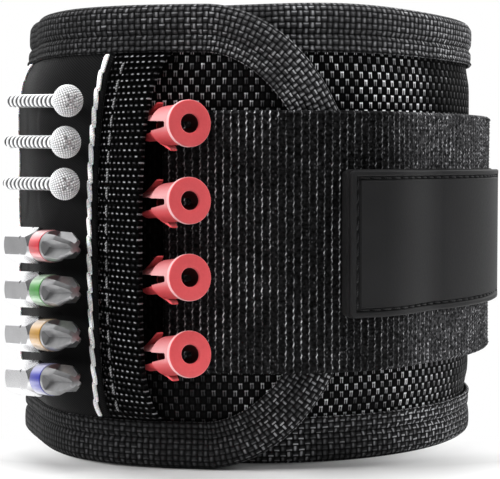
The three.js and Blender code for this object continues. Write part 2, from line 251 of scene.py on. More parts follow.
# ------------------------------------------------------------------ node expressions
class E:
    def __init__(self, tree, socket):
        self.tree, self.o = tree, socket

    def m(self, op, *args):
        n = self.tree.nodes.new("ShaderNodeMath")
        n.operation = op
        for k, a in enumerate((self,) + args):
            if isinstance(a, E):
                self.tree.links.new(a.o, n.inputs[k])
            else:
                n.inputs[k].default_value = float(a)
        return E(self.tree, n.outputs[0])

    def __add__(self, b): return self.m("ADD", b)
    def __radd__(self, b): return self.m("ADD", b)
    def __sub__(self, b): return self.m("SUBTRACT", b)
    def __rsub__(self, b): return (self * -1) + b
    def __mul__(self, b): return self.m("MULTIPLY", b)
    def __rmul__(self, b): return self.m("MULTIPLY", b)
    def __truediv__(self, b): return self.m("DIVIDE", b)
    def floor(self): return self.m("FLOOR")
    def fract(self): return self.m("FRACT")
    def sin(self): return self.m("SINE")
    def cos(self): return self.m("COSINE")
    def abs(self): return self.m("ABSOLUTE")
    def min(self, b): return self.m("MINIMUM", b)
    def max(self, b): return self.m("MAXIMUM", b)
    def pow(self, b): return self.m("POWER", b)
    def mod(self, b): return self.m("FLOORED_MODULO", b)
    def mix(self, a, b):
        """a where this is 0, b where it is 1."""
        return (self * (b - a)) + a


class Mat:
    """A Principled material with room for a pattern."""

    def __init__(self, name, color, rough, metal=0.0, spec=0.5, **more):
        self.mat = bpy.data.materials.new(name)
        self.mat.use_nodes = True
        self.t = self.mat.node_tree
        self.b = self.t.nodes["Principled BSDF"]
        self.b.inputs["Base Color"].default_value = (*color, 1)
        self.b.inputs["Roughness"].default_value = rough
        self.b.inputs["Metallic"].default_value = metal
        self.b.inputs["Specular IOR Level"].default_value = spec
        for k, v in more.items():
            self.b.inputs[k.replace("_", " ")].default_value = v
        self.color = color

    def uv(self):
        n = self.t.nodes.new("ShaderNodeUVMap")
        n.uv_map = "UVMap"
        s = self.t.nodes.new("ShaderNodeSeparateXYZ")
        self.t.links.new(n.outputs[0], s.inputs[0])
        return E(self.t, s.outputs[0]) * 1000, E(self.t, s.outputs[1]) * 1000

    def place(self):
        n = self.t.nodes.new("ShaderNodeTexCoord")
        return n.outputs["Object"]

    def noise(self, scale, detail=2.0, rough=0.55, vector=None, stretch=None):
        n = self.t.nodes.new("ShaderNodeTexNoise")
        n.inputs["Scale"].default_value = scale
        n.inputs["Detail"].default_value = detail
        n.inputs["Roughness"].default_value = rough
        v = vector if vector is not None else self.place()
        if stretch:
            mp = self.t.nodes.new("ShaderNodeMapping")
            mp.inputs["Scale"].default_value = stretch
            self.t.links.new(v, mp.inputs[0])
            v = mp.outputs[0]
        self.t.links.new(v, n.inputs["Vector"])
        return E(self.t, n.outputs[0])

    def ramp(self, x, stops):
        n = self.t.nodes.new("ShaderNodeValToRGB")
        el = n.color_ramp.elements
        while len(el) < len(stops):
            el.new(0.5)
        for e, (p, c) in zip(el, stops):
            e.position, e.color = p, (*c, 1)
        self.t.links.new(x.o, n.inputs[0])
        return n.outputs[0]

    def colour(self, socket):
        self.t.links.new(socket, self.b.inputs["Base Color"])
        return self

    def roughness(self, e):
        self.t.links.new(e.o, self.b.inputs["Roughness"])
        return self

    def bump(self, e, strength=1.0, distance=0.001):
        """e is a height in mm."""
        n = self.t.nodes.new("ShaderNodeBump")
        n.inputs["Strength"].default_value = strength
        n.inputs["Distance"].default_value = distance
        self.t.links.new(e.o, n.inputs["Height"])
        self.t.links.new(n.outputs[0], self.b.inputs["Normal"])
        return self


def tint(c, k):
    return tuple(min(1.0, x * k) for x in c)


def cell_random(m, a, b, seed=0.0):
    """One random number for each cell a, b."""
    c = m.t.nodes.new("ShaderNodeCombineXYZ")
    for k, e in enumerate((a, b)):
        m.t.links.new(e.o, c.inputs[k])
    c.inputs[2].default_value = seed
    n = m.t.nodes.new("ShaderNodeTexWhiteNoise")
    n.noise_dimensions = "3D"
    m.t.links.new(c.outputs[0], n.inputs["Vector"])
    return E(m.t, n.outputs["Value"])


def step_down(e, low, high):
    """1 below low, falling to 0 at high."""
    x = ((e - high) / (low - high)).max(0.0).min(1.0)
    return x * x * (3 - x * 2)


class Weave:
    """Plain weave on u, v in mm, with cells pu by pv."""

    def __init__(self, m, u, v, pu, pv):
        U, V = u / pu, v / pv
        self.iu, self.iv = U.floor(), V.floor()
        self.fu, self.fv = U.fract() - 0.5, V.fract() - 0.5
        self.side = (self.iu + self.iv).mod(2.0)  # 1 where the yarn along u lies on top
        self.up = 1 - self.side
        self.rnd = cell_random(m, self.iu, self.iv)
        a, b = (self.fu * math.pi * 0.97).cos().max(0.0), (self.fv * math.pi * 0.97).cos().max(0.0)
        self.over_v = a.pow(0.75) * (b * 0.7 + 0.3)
        self.over_u = b.pow(0.75) * (a * 0.7 + 0.3)


# ------------------------------------------------------------------ materials
def make_materials():
    M = {}
    grey = lambda k: (k, k, k * 1.04)

    # ballistic weave: heavy upright floats of two or three bundles with painted highlights on them, and painted shade
    # in the dark hollows between
    m = Mat("shell_weave", grey(0.01), 0.6, spec=0.05)
    u, v = m.uv()
    wob = m.noise(330, 2) - 0.5
    w = Weave(m, u + wob * 0.35, v + wob * 0.3, 1.04, 1.43)
    bar = step_down((w.fv - 0.31).abs(), 0.05, 0.16) * step_down(w.fu.abs(), 0.28, 0.42)
    leg = step_down((w.fu.abs() - 0.22).abs(), 0.045, 0.135) * step_down(w.fv.abs(), 0.30, 0.50)
    sp = m.t.nodes.new("ShaderNodeSeparateXYZ")
    m.t.links.new(m.place(), sp.inputs[0])
    painted_glint_fade = ((0.050 - E(m.t, sp.outputs[0])) / 0.018).max(0.35).min(1.0)  # painted highlights fade where the band turns to the right
    # painted shade on the shell beside the elastic, where the open mouth of the pocket lies in shade
    mouth = step_down((E(m.t, sp.outputs[0]) + 0.0190).abs(), 0.0035, 0.0065) * step_down((E(m.t, sp.outputs[2]) - 0.0442).abs(), 0.0240, 0.0262) * step_down(E(m.t, sp.outputs[1]), -0.020, -0.010)
    patch = m.noise(34, 2)
    # the painted highlights are weaker towards the back and brighter towards the top, as the light falls
    lively = (w.rnd * 0.7 + 0.42) * ((patch - 0.28) * 3.4).max(0.30).min(1.3) * painted_glint_fade * (1 - mouth * 0.93) * ((0.024 - E(m.t, sp.outputs[1])) / 0.036).max(0.45).min(1.0) * (E(m.t, sp.outputs[2]) * 6 + 0.75)
    glint = w.up * (bar * 0.85 + leg * 0.80).min(1.1) * lively
    bundle = leg * 0.7 + 0.3
    m.colour(m.ramp(glint * 1.05 + (w.up * w.over_v * 0.08 + w.side * w.over_u * 0.05) * (1 - mouth * 0.8),
                    [(0.0, grey(0.0005)), (0.10, grey(0.0055)), (0.32, grey(0.075)), (1.0, grey(0.80))]))
    m.roughness(w.up * w.over_v * -0.30 + 0.80)
    m.bump(w.up * w.over_v * 0.36 + w.side * w.over_u * 0.12 + w.up * bundle * w.over_v * 0.05, 1.0)
    M["shell"] = m.mat

    # binding tape: plain weave of plump yarns, with painted highlights on crossings here and there and painted shade
    # between the yarns
    m = Mat("binding_weave", grey(0.014), 0.6, spec=0.06)
    u, v = m.uv()
    wob = m.noise(330, 2) - 0.5
    w = Weave(m, u + wob * 0.45, v + wob * 0.35, 1.22, 1.12)
    patch = m.noise(42, 2)
    sp = m.t.nodes.new("ShaderNodeSeparateXYZ")
    m.t.links.new(m.place(), sp.inputs[0])
    side = ((E(m.t, sp.outputs[0]) + 0.045) / 0.075).max(0.0).min(1.0)  # painted highlights brighter towards the right
    lively = (w.rnd * 0.7 + 0.35) * ((patch - 0.30) * 3.4).max(0.25).min(1.3) * (side * 1.25 + 0.25)
    post = w.up * step_down((w.fu - 0.10).abs(), 0.10, 0.28) * step_down(w.fv.abs(), 0.34, 0.5)
    lintel = w.side * step_down((w.fv - 0.26).abs(), 0.07, 0.20) * step_down(w.fu.abs(), 0.38, 0.5)
    fibre = m.noise(1100, 2)
    # painted light: the yarn crowns are lighter towards the right, and there lighter towards the top
    m.colour(m.ramp((post * 0.75 + lintel * 0.9) * lively * 0.66 + (w.up * w.over_v * 0.13 + w.side * w.over_u * 0.12) * (fibre * 0.8 + 0.6) * (side * (E(m.t, sp.outputs[2]) * 18 + 0.7) + 1.0),
                    [(0.0, grey(0.0005)), (0.11, grey(0.0095)), (0.33, grey(0.05)), (1.0, grey(0.46))]))
    m.roughness((w.up * w.over_v + w.side * w.over_u) * -0.26 + 0.80)
    m.bump((w.up * w.over_v + w.side * w.over_u) * 0.30 + fibre * 0.05, 1.0)
    M["binding"] = m.mat

    # fine twill panel
    m = Mat("panel_twill", grey(0.010), 0.8, spec=0.06, Sheen_Weight=0.10, Sheen_Roughness=0.3)
    u, v = m.uv()
    wob = m.noise(500, 2) - 0.5
    d = ((u * 0.8 + v * 1.25 + wob * 0.25) * (2 * math.pi / 0.62)).sin() * 0.5 + 0.5
    thread_across = ((u * 1.25 - v * 0.8) * (2 * math.pi / 0.34)).sin() * 0.5 + 0.5
    h = d * 0.75 + d * thread_across * 0.25
    cloudy = m.noise(60, 3)
    m.colour(m.ramp(h * 0.8 + cloudy * 0.3, [(0.1, grey(0.0016)), (1.0, grey(0.0105))]))
    m.roughness((1 - d) * 0.12 + 0.66)
    m.bump(h * 0.045, 1.0)
    M["panel"] = m.mat

    m = Mat("backing_cloth", grey(0.010), 0.85, spec=0.3)
    g = m.noise(1500, 2)
    m.colour(m.ramp(g, [(0.2, grey(0.003)), (0.9, grey(0.014))]))
    m.bump(g * 0.05, 1.0)
    M["backing"] = m.mat

    # woven elastic: beads stand in rows; the relief is in the mesh, the nodes paint a highlight on the upper part of
    # each bead and set the yarn's roughness
    m = Mat("elastic_yarn", grey(0.008), 0.5, spec=0.03)
    u, v = m.uv()
    wob = m.noise(700, 2) - 0.5
    row = (v + wob * 0.10) / ELASTIC_ROW
    k = row.floor()
    col = (u + wob * 0.25) / ELASTIC_COL + k.mod(2.0) * 0.28
    fx, fz = col.fract() - 0.5, row.fract() - 0.5
    ell = ((fx / 0.36) * (fx / 0.36) + ((fz - 0.04 + fx * 0.12) / 0.20) * ((fz - 0.04 + fx * 0.12) / 0.20)).pow(0.5)
    amp = cell_random(m, col.floor(), k) * 0.5 + 0.35
    fibre = m.noise(1500, 2)
    m.colour(m.ramp(step_down(ell, 0.35, 1.10) * amp * (fibre * 0.8 + 0.6), [(0.0, grey(0.0003)), (0.30, grey(0.010)), (1.0, grey(0.24))]))
    m.roughness(fibre * 0.2 + 0.45)
    m.bump(fibre * 0.07, 1.0)
    M["elastic"] = m.mat

    # webbing: thin chained binder lines painted as highlights on flat dark bands
    m = Mat("strap_webbing", grey(0.009), 0.6, spec=0.05)
    u, v = m.uv()
    wob = m.noise(420, 2) - 0.5
    fibre = m.noise(1400, 2)
    L = u / RIB + 0.5
    rnd = cell_random(m, L.floor(), L.floor() * 0.0)
    hook = (v / 1.35 + rnd * 7.0 + wob * 0.5)
    wig = (hook * 2 * math.pi).sin() * 0.075 + wob * 0.34
    d = ((L.fract() - 0.5) * RIB - wig).abs()
    broken = ((m.noise(1100, 3, 0.65) - 0.38) * 4.5).max(0.05).min(1.0) * ((hook * 2 * math.pi).cos() * 0.35 + 0.65)
    highlight_patches = m.noise(120, 3)
    shade = rnd * 0.28 + 0.72
    line = step_down(d, 0.03, 0.19) * (broken * 0.9 + 0.12) * ((highlight_patches - 0.28) * 3.2).max(0.30).min(1.25) * shade
    row = v / 0.71
    speck = cell_random(m, (u / 0.48).floor(), row.floor(), 3.0)
    bright_specks = ((speck - 0.80) * 5.0).max(0.0) * step_down((row.fract() - 0.5).abs(), 0.12, 0.40) * step_down(((u / 0.48).fract() - 0.5).abs(), 0.2, 0.45)
    # painted sheen: towards the strap's right end, where it turns away, the bands are painted lighter and the bright
    # specks stronger
    far = ((u - 42) / 12).max(0.0).min(1.0)
    m.colour(m.ramp(line * (1.06 - far * 0.25) + bright_specks * (far * 0.32 + 0.18) + (fibre - 0.35).max(0.0) * (far * 0.28 + 0.33) + far * 0.055,
                    [(0.0, grey(0.0005)), (0.10, grey(0.0105)), (0.36, grey(0.10)), (1.0, grey(0.68))]))
    m.roughness(line * -0.20 + 0.66 + fibre * 0.1)
    m.bump(fibre * 0.10 + (row * 2 * math.pi).cos() * 0.03 + bright_specks * 0.12, 1.0)
    M["strap"] = m.mat

    m = Mat("loop_pile", (0.012, 0.012, 0.013), 0.95, spec=0.1, Sheen_Weight=0.12, Sheen_Roughness=0.6)
    g = m.noise(900, 4, 0.7)
    m.colour(m.ramp(g, [(0.25, (0.003, 0.003, 0.003)), (0.85, (0.028, 0.028, 0.029))]))
    m.bump(g * 0.35, 1.0)
    M["loop"] = m.mat

    m = Mat("hook_nylon", (0.008, 0.008, 0.009), 0.5, spec=0.45)
    g = m.noise(700, 2)
    m.colour(m.ramp(g, [(0.2, (0.004, 0.004, 0.004)), (0.9, (0.016, 0.016, 0.017))]))
    m.bump(g * 0.08, 1.0)
    M["hook"] = m.mat

    # knitted lining with small open cells
    m = Mat("lining_knit", (0.012, 0.012, 0.013), 0.8, spec=0.3, Sheen_Weight=0.3, Sheen_Roughness=0.5)
    u, v = m.uv()
    a, b = u / 1.9, v / 1.65
    s1 = ((a + b * 0.5) * 2 * math.pi).cos()
    s2 = ((a - b * 0.5) * 2 * math.pi).cos()
    s3 = (b * 2 * math.pi).cos()
    cell = ((s1 + s2 + s3) / 3 * 0.667 + 0.333).max(0.0)
    hole = cell.pow(2.2)
    fibre = m.noise(1200, 2)
    m.colour(m.ramp(hole * 0.9 + fibre * 0.2, [(0.0, (0.022, 0.022, 0.024)), (0.45, (0.013, 0.013, 0.014)), (1.0, (0.002, 0.002, 0.002))]))
    m.bump((1 - hole) * 0.35 + fibre * 0.06, 1.0)
    M["lining"] = m.mat

    m = Mat("foam_cells", (0.02, 0.02, 0.021), 0.9, spec=0.25)
    g = m.noise(1600, 3, 0.7)
    m.colour(m.ramp(g, [(0.25, (0.006, 0.006, 0.006)), (0.8, (0.03, 0.03, 0.032))]))
    m.bump(g * 0.12, 1.0)
    M["foam"] = m.mat

    # white sewing thread, twisted
    m = Mat("white_thread", (0.92, 0.92, 0.91), 0.6, spec=0.35, Sheen_Weight=0.2, Sheen_Roughness=0.4, Subsurface_Weight=0.15, Subsurface_Scale=0.0006)
    u, v = m.uv()
    ply = ((v * 2.0 + u * 1.0) * 2 * math.pi).sin() * 0.5 + 0.5
    m.colour(m.ramp(ply, [(0.0, (0.88, 0.88, 0.87)), (0.5, (0.96, 0.96, 0.955)), (1.0, (0.98, 0.98, 0.975))]))
    m.bump(ply * 0.05 + m.noise(1500, 2) * 0.04, 1.0)
    M["thread"] = m.mat

    m = Mat("black_thread", (0.012, 0.012, 0.013), 0.45, spec=0.5)
    u, v = m.uv()
    ply = ((v * 2.0 + u * 1.0) * 2 * math.pi).sin() * 0.5 + 0.5
    m.colour(m.ramp(ply, [(0.0, (0.004, 0.004, 0.0045)), (1.0, (0.028, 0.028, 0.030))]))
    m.bump(ply * 0.04, 1.0)
    M["black_thread"] = m.mat

    m = Mat("grey_thread", (0.05, 0.05, 0.052), 0.5, spec=0.45)
    u, v = m.uv()
    ply = ((v * 2.0 + u * 1.0) * 2 * math.pi).sin() * 0.5 + 0.5
    m.colour(m.ramp(ply, [(0.0, (0.06, 0.06, 0.062)), (1.0, (0.26, 0.26, 0.265))]))
    m.bump(ply * 0.04, 1.0)
    M["grey_thread"] = m.mat

    # moulded rubber
    m = Mat("badge_rubber", (0.045, 0.045, 0.047), 0.55, spec=0.20)
    g, c = m.noise(2200, 2), m.noise(90, 3)
    m.colour(m.ramp(c * 0.7 + g * 0.3, [(0.2, (0.0090, 0.0090, 0.0094)), (0.8, (0.0145, 0.0145, 0.0152))]))
    m.roughness(g * 0.14 + 0.46)
    m.bump(g * 0.02, 1.0)
    M["badge"] = m.mat

    # metals: painted shade darkens the roots of the screw's thread, and its head has a painted grid of dark lines, the
    # shade between the studs
    m = Mat("bright_zinc", (0.80, 0.805, 0.815), 0.30, metal=0.5, spec=0.6)
    u, v = m.uv()
    ph = (v / THREAD - u / (2 * math.pi)).fract() - 0.5
    # painted shade in the roots of the thread
    root = step_down(0.5 - ph.abs(), 0.12, 0.36)
    dark = root * 0.98
    m.colour(m.ramp(dark, [(0.0, (0.93, 0.935, 0.945)), (0.5, (0.26, 0.262, 0.27)), (1.0, (0.020, 0.020, 0.022))]))
    M["zinc"] = m.mat

    m = Mat("matt_zinc", (0.93, 0.935, 0.945), 0.38, metal=0.2, spec=0.6)
    u, v = m.uv()
    l1, l2 = ((u - 200) / STUD).fract() - 0.5, ((v - 200) / STUD).fract() - 0.5
    # painted shade in the grooves between the studs
    line = step_down(l1.abs(), 0.08, 0.22).max(step_down(l2.abs(), 0.08, 0.22))
    m.colour(m.ramp(line * 0.40, [(0.0, (0.93, 0.935, 0.945)), (0.5, (0.20, 0.202, 0.208)), (1.0, (0.020, 0.020, 0.022))]))
    M["zinc_head"] = m.mat

    m = Mat("satin_steel", (0.60, 0.60, 0.61), 0.24, metal=1.0)
    c = m.noise(300, 3)
    m.colour(m.ramp(c, [(0.25, (0.54, 0.54, 0.55)), (0.75, (0.61, 0.61, 0.62))]))
    M["steel"] = m.mat

    # the cut tip is painted a shade darker than the ground flats, for the shade in its flutes
    m = Mat("tip_steel_painted_shade", (0.42, 0.42, 0.43), 0.30, metal=0.9, spec=0.3)
    c = m.noise(700, 3)
    m.colour(m.ramp(c, [(0.25, (0.23, 0.23, 0.234)), (0.75, (0.30, 0.30, 0.305))]))
    M["steel_tip"] = m.mat

    m = Mat("nickel_plate", (0.66, 0.64, 0.60), 0.2, metal=1.0)
    g = m.noise(900, 2)
    m.roughness(g * 0.2 + 0.12)
    m.bump(g * 0.01, 1.0)
    M["magnet"] = m.mat

    for k, c in enumerate([(0.50, 0.006, 0.020), (0.030, 0.22, 0.022), (0.38, 0.19, 0.010), (0.010, 0.014, 0.27)]):
        m = Mat(f"sleeve_lacquer_{k + 1}", c, 0.3, metal=0.1, spec=0.4, Coat_Weight=1.0, Coat_Roughness=0.10, Coat_IOR=1.55)
        g = m.noise(500, 3)
        geo = m.t.nodes.new("ShaderNodeNewGeometry")
        sp = m.t.nodes.new("ShaderNodeSeparateXYZ")
        m.t.links.new(geo.outputs["Normal"], sp.inputs[0])
        # painted reflection: faces turned up or down are painted paler, for the bright surround seen in the lacquer
        painted_reflection = ((E(m.t, sp.outputs[2]).abs() - 0.30) / 0.55).max(0.0).min(1.0)
        m.colour(m.ramp(painted_reflection * 0.85 + g * 0.15, [(0.05, tint(c, 0.70)), (0.2, tint(c, 0.88)), (0.95, tuple(0.26 + 0.74 * q for q in tint(c, 0.72)))]))
        m.roughness(g * 0.12 + 0.24)
        M[f"sleeve_{k + 1}"] = m.mat

    m = Mat("plug_nylon", (0.60, 0.055, 0.066), 0.45, spec=0.5, Subsurface_Weight=0.06, Subsurface_Scale=0.0008, Sheen_Weight=0.5, Sheen_Roughness=0.35)
    m.b.inputs["Subsurface Radius"].default_value = (1.0, 0.25, 0.2)
    g, c = m.noise(1800, 2), m.noise(160, 3)
    m.colour(m.ramp(c * 0.6 + g * 0.4, [(0.25, (0.53, 0.052, 0.060)), (0.8, (0.64, 0.085, 0.094))]))
    m.roughness(g * 0.14 + 0.36)
    m.bump(g * 0.02, 1.0)
    M["plug"] = m.mat

    # painted light: the moulding's sides are painted paler where light falls on them and dark red underneath, by their
    # normal
    m = Mat("plug_side_painted_light", (0.46, 0.22, 0.225), 0.5, spec=0.4)
    geo = m.t.nodes.new("ShaderNodeNewGeometry")
    sp = m.t.nodes.new("ShaderNodeSeparateXYZ")
    m.t.links.new(geo.outputs["Normal"], sp.inputs[0])
    painted_light_by_normal = ((E(m.t, sp.outputs[2]) + 0.62) / 0.55).max(0.0).min(1.0) * (1 - ((E(m.t, sp.outputs[2]) - 0.35) / 0.65).max(0.0) * 0.55)
    g, c = m.noise(1800, 2), m.noise(160, 3)
    m.colour(m.ramp(painted_light_by_normal * 0.86 + c * 0.20 - 0.03, [(0.0, (0.40, 0.034, 0.040)), (0.4, (0.42, 0.060, 0.067)), (1.0, (0.46, 0.235, 0.24))]))
    m.bump(g * 0.02, 1.0)
    M["plug_side_painted_light"] = m.mat

    # painted highlight: the flange's rim is a paler copy of the red
    m = Mat("plug_rim_painted_highlight", (0.58, 0.33, 0.335), 0.5, spec=0.4)
    c = m.noise(160, 3)
    m.colour(m.ramp(c, [(0.25, (0.56, 0.29, 0.295)), (0.8, (0.60, 0.35, 0.355))]))
    M["plug_rim_painted_highlight"] = m.mat

    # painted shade: a dark copy of the red for the bore, its web and the legs' inner faces
    m = Mat("plug_bore_painted_shade", (0.035, 0.003, 0.004), 0.7, spec=0.15)
    g = m.noise(1800, 2)
    m.colour(m.ramp(g, [(0.25, (0.020, 0.002, 0.0025)), (0.8, (0.045, 0.004, 0.005))]))
    M["plug_bore_painted_shade"] = m.mat
    return M


M = make_materials()


def wear(o, mat):
    o.data.materials.clear()
    o.data.materials.append(M[mat] if isinstance(mat, str) else mat)
    return o


def pt(p, r, z):
    return Vector([float(x) * 0.001 for x in polar(p, r, z)])


FOLD_A, FOLD_B = pt(272.5, r0(272.5) + 4.7, 45), pt(286.5, r0(286.5) + 4.7, 45)


def across_fold(o):
    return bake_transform(o)


# ------------------------------------------------------------------ wall of the band
def pillow(e):
    """How far the wall swells, by the distance in from the edge."""
    return smooth((e - 9.2) / 5.5)


def root_start(z):
    rc, c = 12 - EDGE, 12.0
    dz = np.clip(np.maximum(c - z, z - (H - c)), 0, rc)
    return PHI_IN + per_deg(EDGE + rc - np.sqrt(rc * rc - dz * dz))


def root_grid(step):
    nu, nv = int(252 / step), int(88 / step)
    u = np.linspace(0, 1, nu)[:, None]
    z = np.linspace(EDGE, H - EDGE, nv)[None, :]
    p = lerp(root_start(z), SEAM, u)
    return p, np.broadcast_to(z, p.shape), np.minimum(z, H - z) + 0 * p


def flap_grid(step):
    n1, n2, nv = int(86 / step), int(38 / step), int(100 / step)
    v = np.linspace(0, 1, nv)[None, :]
    z = H / 2 - (H / 2 - EDGE) * np.cos(math.pi * (v * 0.86 + 0.07)) / math.cos(math.pi * 0.07)
    end = flap_end(z, EDGE)
    k = FLAP_C - 3
    u1 = np.linspace(0, 1, n1)[:, None]
    u2 = np.linspace(0, 1, n2 + 1)[1:, None]
    p = np.concatenate([lerp(SEAM, k, u1) + 0 * z, lerp(k, end, u2)], 0)
    z = np.broadcast_to(z, p.shape)
    e = np.minimum(z, H - z)
    s = (p - FLAP_C) * DEG * FLAP_R
    rho = np.sqrt((np.maximum(s, 0) / FLAP_A) ** 2 + ((z - H / 2) / (H / 2)) ** 2)
    e = np.where(s > 0, np.minimum(e, (1 - rho) * 38), e)
    return p, z, e


def layer(name, grid, n_out, n_in, mat):
    p, z, e = grid
    out = at(p, z, n_out(p, z, e))
    inn = at(p, z, n_in(p, z, e))
    o = slab(name, out, inn, np.stack([arc(p), z], -1) * 0.001)
    return wear(o, mat)


def build_wall():
    def shell_out(p, z, e):
        return 3.35 + 0.75 * pillow(e) + 0.10 * np.sin(p * 0.31 + z * 0.05) * pillow(e)

    def lining_in(p, z, e):
        return 0.0 - 0.25 * pillow(e)

    fine, coarse = 1.5, 3.0
    rg, fg = root_grid(fine), flap_grid(fine)
    rc, fc = root_grid(coarse), flap_grid(coarse)
    a = layer("shell_root", rg, shell_out, lambda p, z, e: 2.7 + 0 * p, "shell")
    b = layer("shell_flap", fg, shell_out, lambda p, z, e: 2.7 + 0 * p, "shell")
    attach(a, "band"), across_fold(b)
    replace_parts(a, "outer_shell_root"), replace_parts(b, "outer_shell_flap")
    a, b
    a = layer("lining_root_cloth", rg, lambda p, z, e: 0.55 + 0 * p, lining_in, "lining")
    b = layer("lining_flap_cloth", fg, lambda p, z, e: 0.55 + 0 * p, lining_in, "lining")
    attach(a, "band"), across_fold(b)
    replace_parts(a, "lining_root"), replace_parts(b, "lining_flap")
    a, b
    a = layer("foam_root", rc, lambda p, z, e: 2.5 + 0 * p, lambda p, z, e: 0.75 + 0 * p, "foam")
    b = layer("foam_flap", fc, lambda p, z, e: 2.5 + 0 * p, lambda p, z, e: 0.75 + 0 * p, "foam")
    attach(a, "band"), across_fold(b)
    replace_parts(a, "foam_core_root"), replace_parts(b, "foam_core_flap")
    a, b
    a, b


# ------------------------------------------------------------------ binding
def bind_section():
    """Points (n, d) round the folded tape, from the outer leg's edge over the crown to the inner leg."""
    pts = [(3.62, 9.15), (3.95, 9.42), (4.38, 9.38), (4.56, 9.1), (4.50, 8.8), (4.30, 8.6)]
    for d in np.linspace(8.4, 1.7, 22):
        dip = 0.36 * math.exp(-((d - 6.0) / 0.5) ** 2)
        puff = 0.14 * math.sin(math.pi * np.clip((d - 6.0) / 2.6, 0, 1)) if d > 6.0 else 0.26 * math.sin(math.pi * np.clip((6.0 - d) / 6.0, 0, 1))
        pts.append((4.26 + puff - dip, d))
    for t in np.linspace(0, math.pi, 13)[1:-1]:
        pts.append((1.8 + 2.5 * math.cos(t), 1.7 - 1.7 * math.sin(t) ** 0.9))
    for d in np.linspace(1.7, 9.1, 12):
        pts.append((-0.7 - 0.1 * math.sin(math.pi * (d - 1.7) / 7.4), d))
    pts += [(-0.5, 9.32), (-0.22, 9.2), (-0.2, 6.0), (-0.2, 2.4), (3.68, 2.4), (3.68, 6.0)]
    return np.array(pts)


def bind_piece(name, path):
    """path rows: phi, z, inward phi mm, inward z mm, length so far in mm."""
    sec = bind_section()
    n, d = sec[:, 0][None, :], sec[:, 1][None, :]
    phi, z, ip, iz, run = (path[:, k][:, None] for k in range(5))
    lump = 1 + 0.10 * noise1(len(path), 3.0, 11)[:, None] * (n > 3.5)
    P = at(phi + per_deg(ip * d), z + iz * d, n * np.where(n > 3.9, (lump - 1) * 0.35 + 1, 1))
    walk = np.concatenate([[0], np.cumsum(np.hypot(*np.diff(sec, axis=0).T))])
    UV = np.stack(np.broadcast_arrays(run, walk[None, :]), -1) * 0.001
    s = Soup()
    m = len(sec)
    UV = np.concatenate([UV, UV[:, :1]], 1)
    UV = np.concatenate([UV, UV[-1:]], 0)
    s.grid(P, UV, wrap_v=True)
    last = (len(path) - 1) * m
    for base, flip in ((0, False), (last, True)):
        ring = [base + k for k in range(m)]
        mid = P[0 if base == 0 else -1].mean(0)
        s.fan(ring, mid, flip=flip)
    return wear(s.object(name), "binding")


def with_run(rows):
    a = np.array(rows, float)
    q = at(a[:, 0], a[:, 1], 4.3)
    run = np.concatenate([[0], np.cumsum(np.linalg.norm(np.diff(q, axis=0), axis=1))])
    return np.concatenate([a, run[:, None]], 1)


def build_binding():
    rows = []
    for p in np.linspace(SEAM, FLAP_C, 90):
        rows.append((p, H, 0, -1))
    for k in range(1, 96):
        t = math.pi / 2 - math.pi * k / 96
        nx, nz = math.cos(t) / FLAP_A, math.sin(t) / (H / 2)
        l = math.hypot(nx, nz)
        rows.append((FLAP_C + per_deg(FLAP_A * math.cos(t)), H / 2 + H / 2 * math.sin(t), -nx / l, -nz / l))
    for p in np.linspace(FLAP_C, SEAM, 90):
        rows.append((p, 0, 0, 1))
    o = bind_piece("binding_flap", with_run(rows))
    across_fold(o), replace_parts(o, "binding_tape_flap"), o
    rows, c, cp = [], 12.0, PHI_IN + per_deg(12.0)
    for p in np.linspace(SEAM, cp, 200):
        rows.append((p, 0, 0, 1))
    for k in range(1, 14):
        t = math.pi / 2 * k / 14
        rows.append((cp - per_deg(c * math.sin(t)), c - c * math.cos(t), math.sin(t), math.cos(t)))
    for z in np.linspace(c, H - c, 50):
        rows.append((PHI_IN, z, 1, 0))
    for k in range(1, 14):
        t = math.pi / 2 * k / 14
        rows.append((cp - per_deg(c * math.cos(t)), H - c + c * math.sin(t), math.cos(t), -math.sin(t)))
    for p in np.linspace(cp, SEAM, 200):
        rows.append((p, H, 0, -1))
    o = bind_piece("binding_root", with_run(rows))
    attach(o, "band"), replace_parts(o, "binding_tape_root"), o


# ------------------------------------------------------------------ panels over the magnets
ROWS = np.array([22.5, 37.5, 52.5, 67.5])


def discs(p, z, columns, r):
    """Soft rises where the discs lie under the cloth."""
    h = 0 * p
    for c in columns:
        for row in ROWS:
            d = np.hypot((p - c) * DEG * r, z - row)
            h = np.maximum(h, smooth((6.4 - d) / 2.4))
    return h


def rise_v(z):
    return 1 - np.abs((z - H / 2) / 36.2) ** 11


def pocket_out(p, z):
    k = smooth((p - 279.9) / 10.4) * rise_v(z)
    lip = 0.30 * smooth((p - (mouth_left(z) - 3)) / 2.4) * rise_v(z)
    return 3.55 + 2.95 * k + lip + (0.16 * discs(p, z, (293.5, 313.5), 54) - 0.10) * k


def rear_out(p, z):
    k = smooth((275.0 - p) / 4.6) * smooth((p - 234.6) / 4.6) * rise_v(z)
    return 3.55 + 2.55 * k + (0.16 * discs(p, z, (246, 263.5), 48) - 0.10) * k


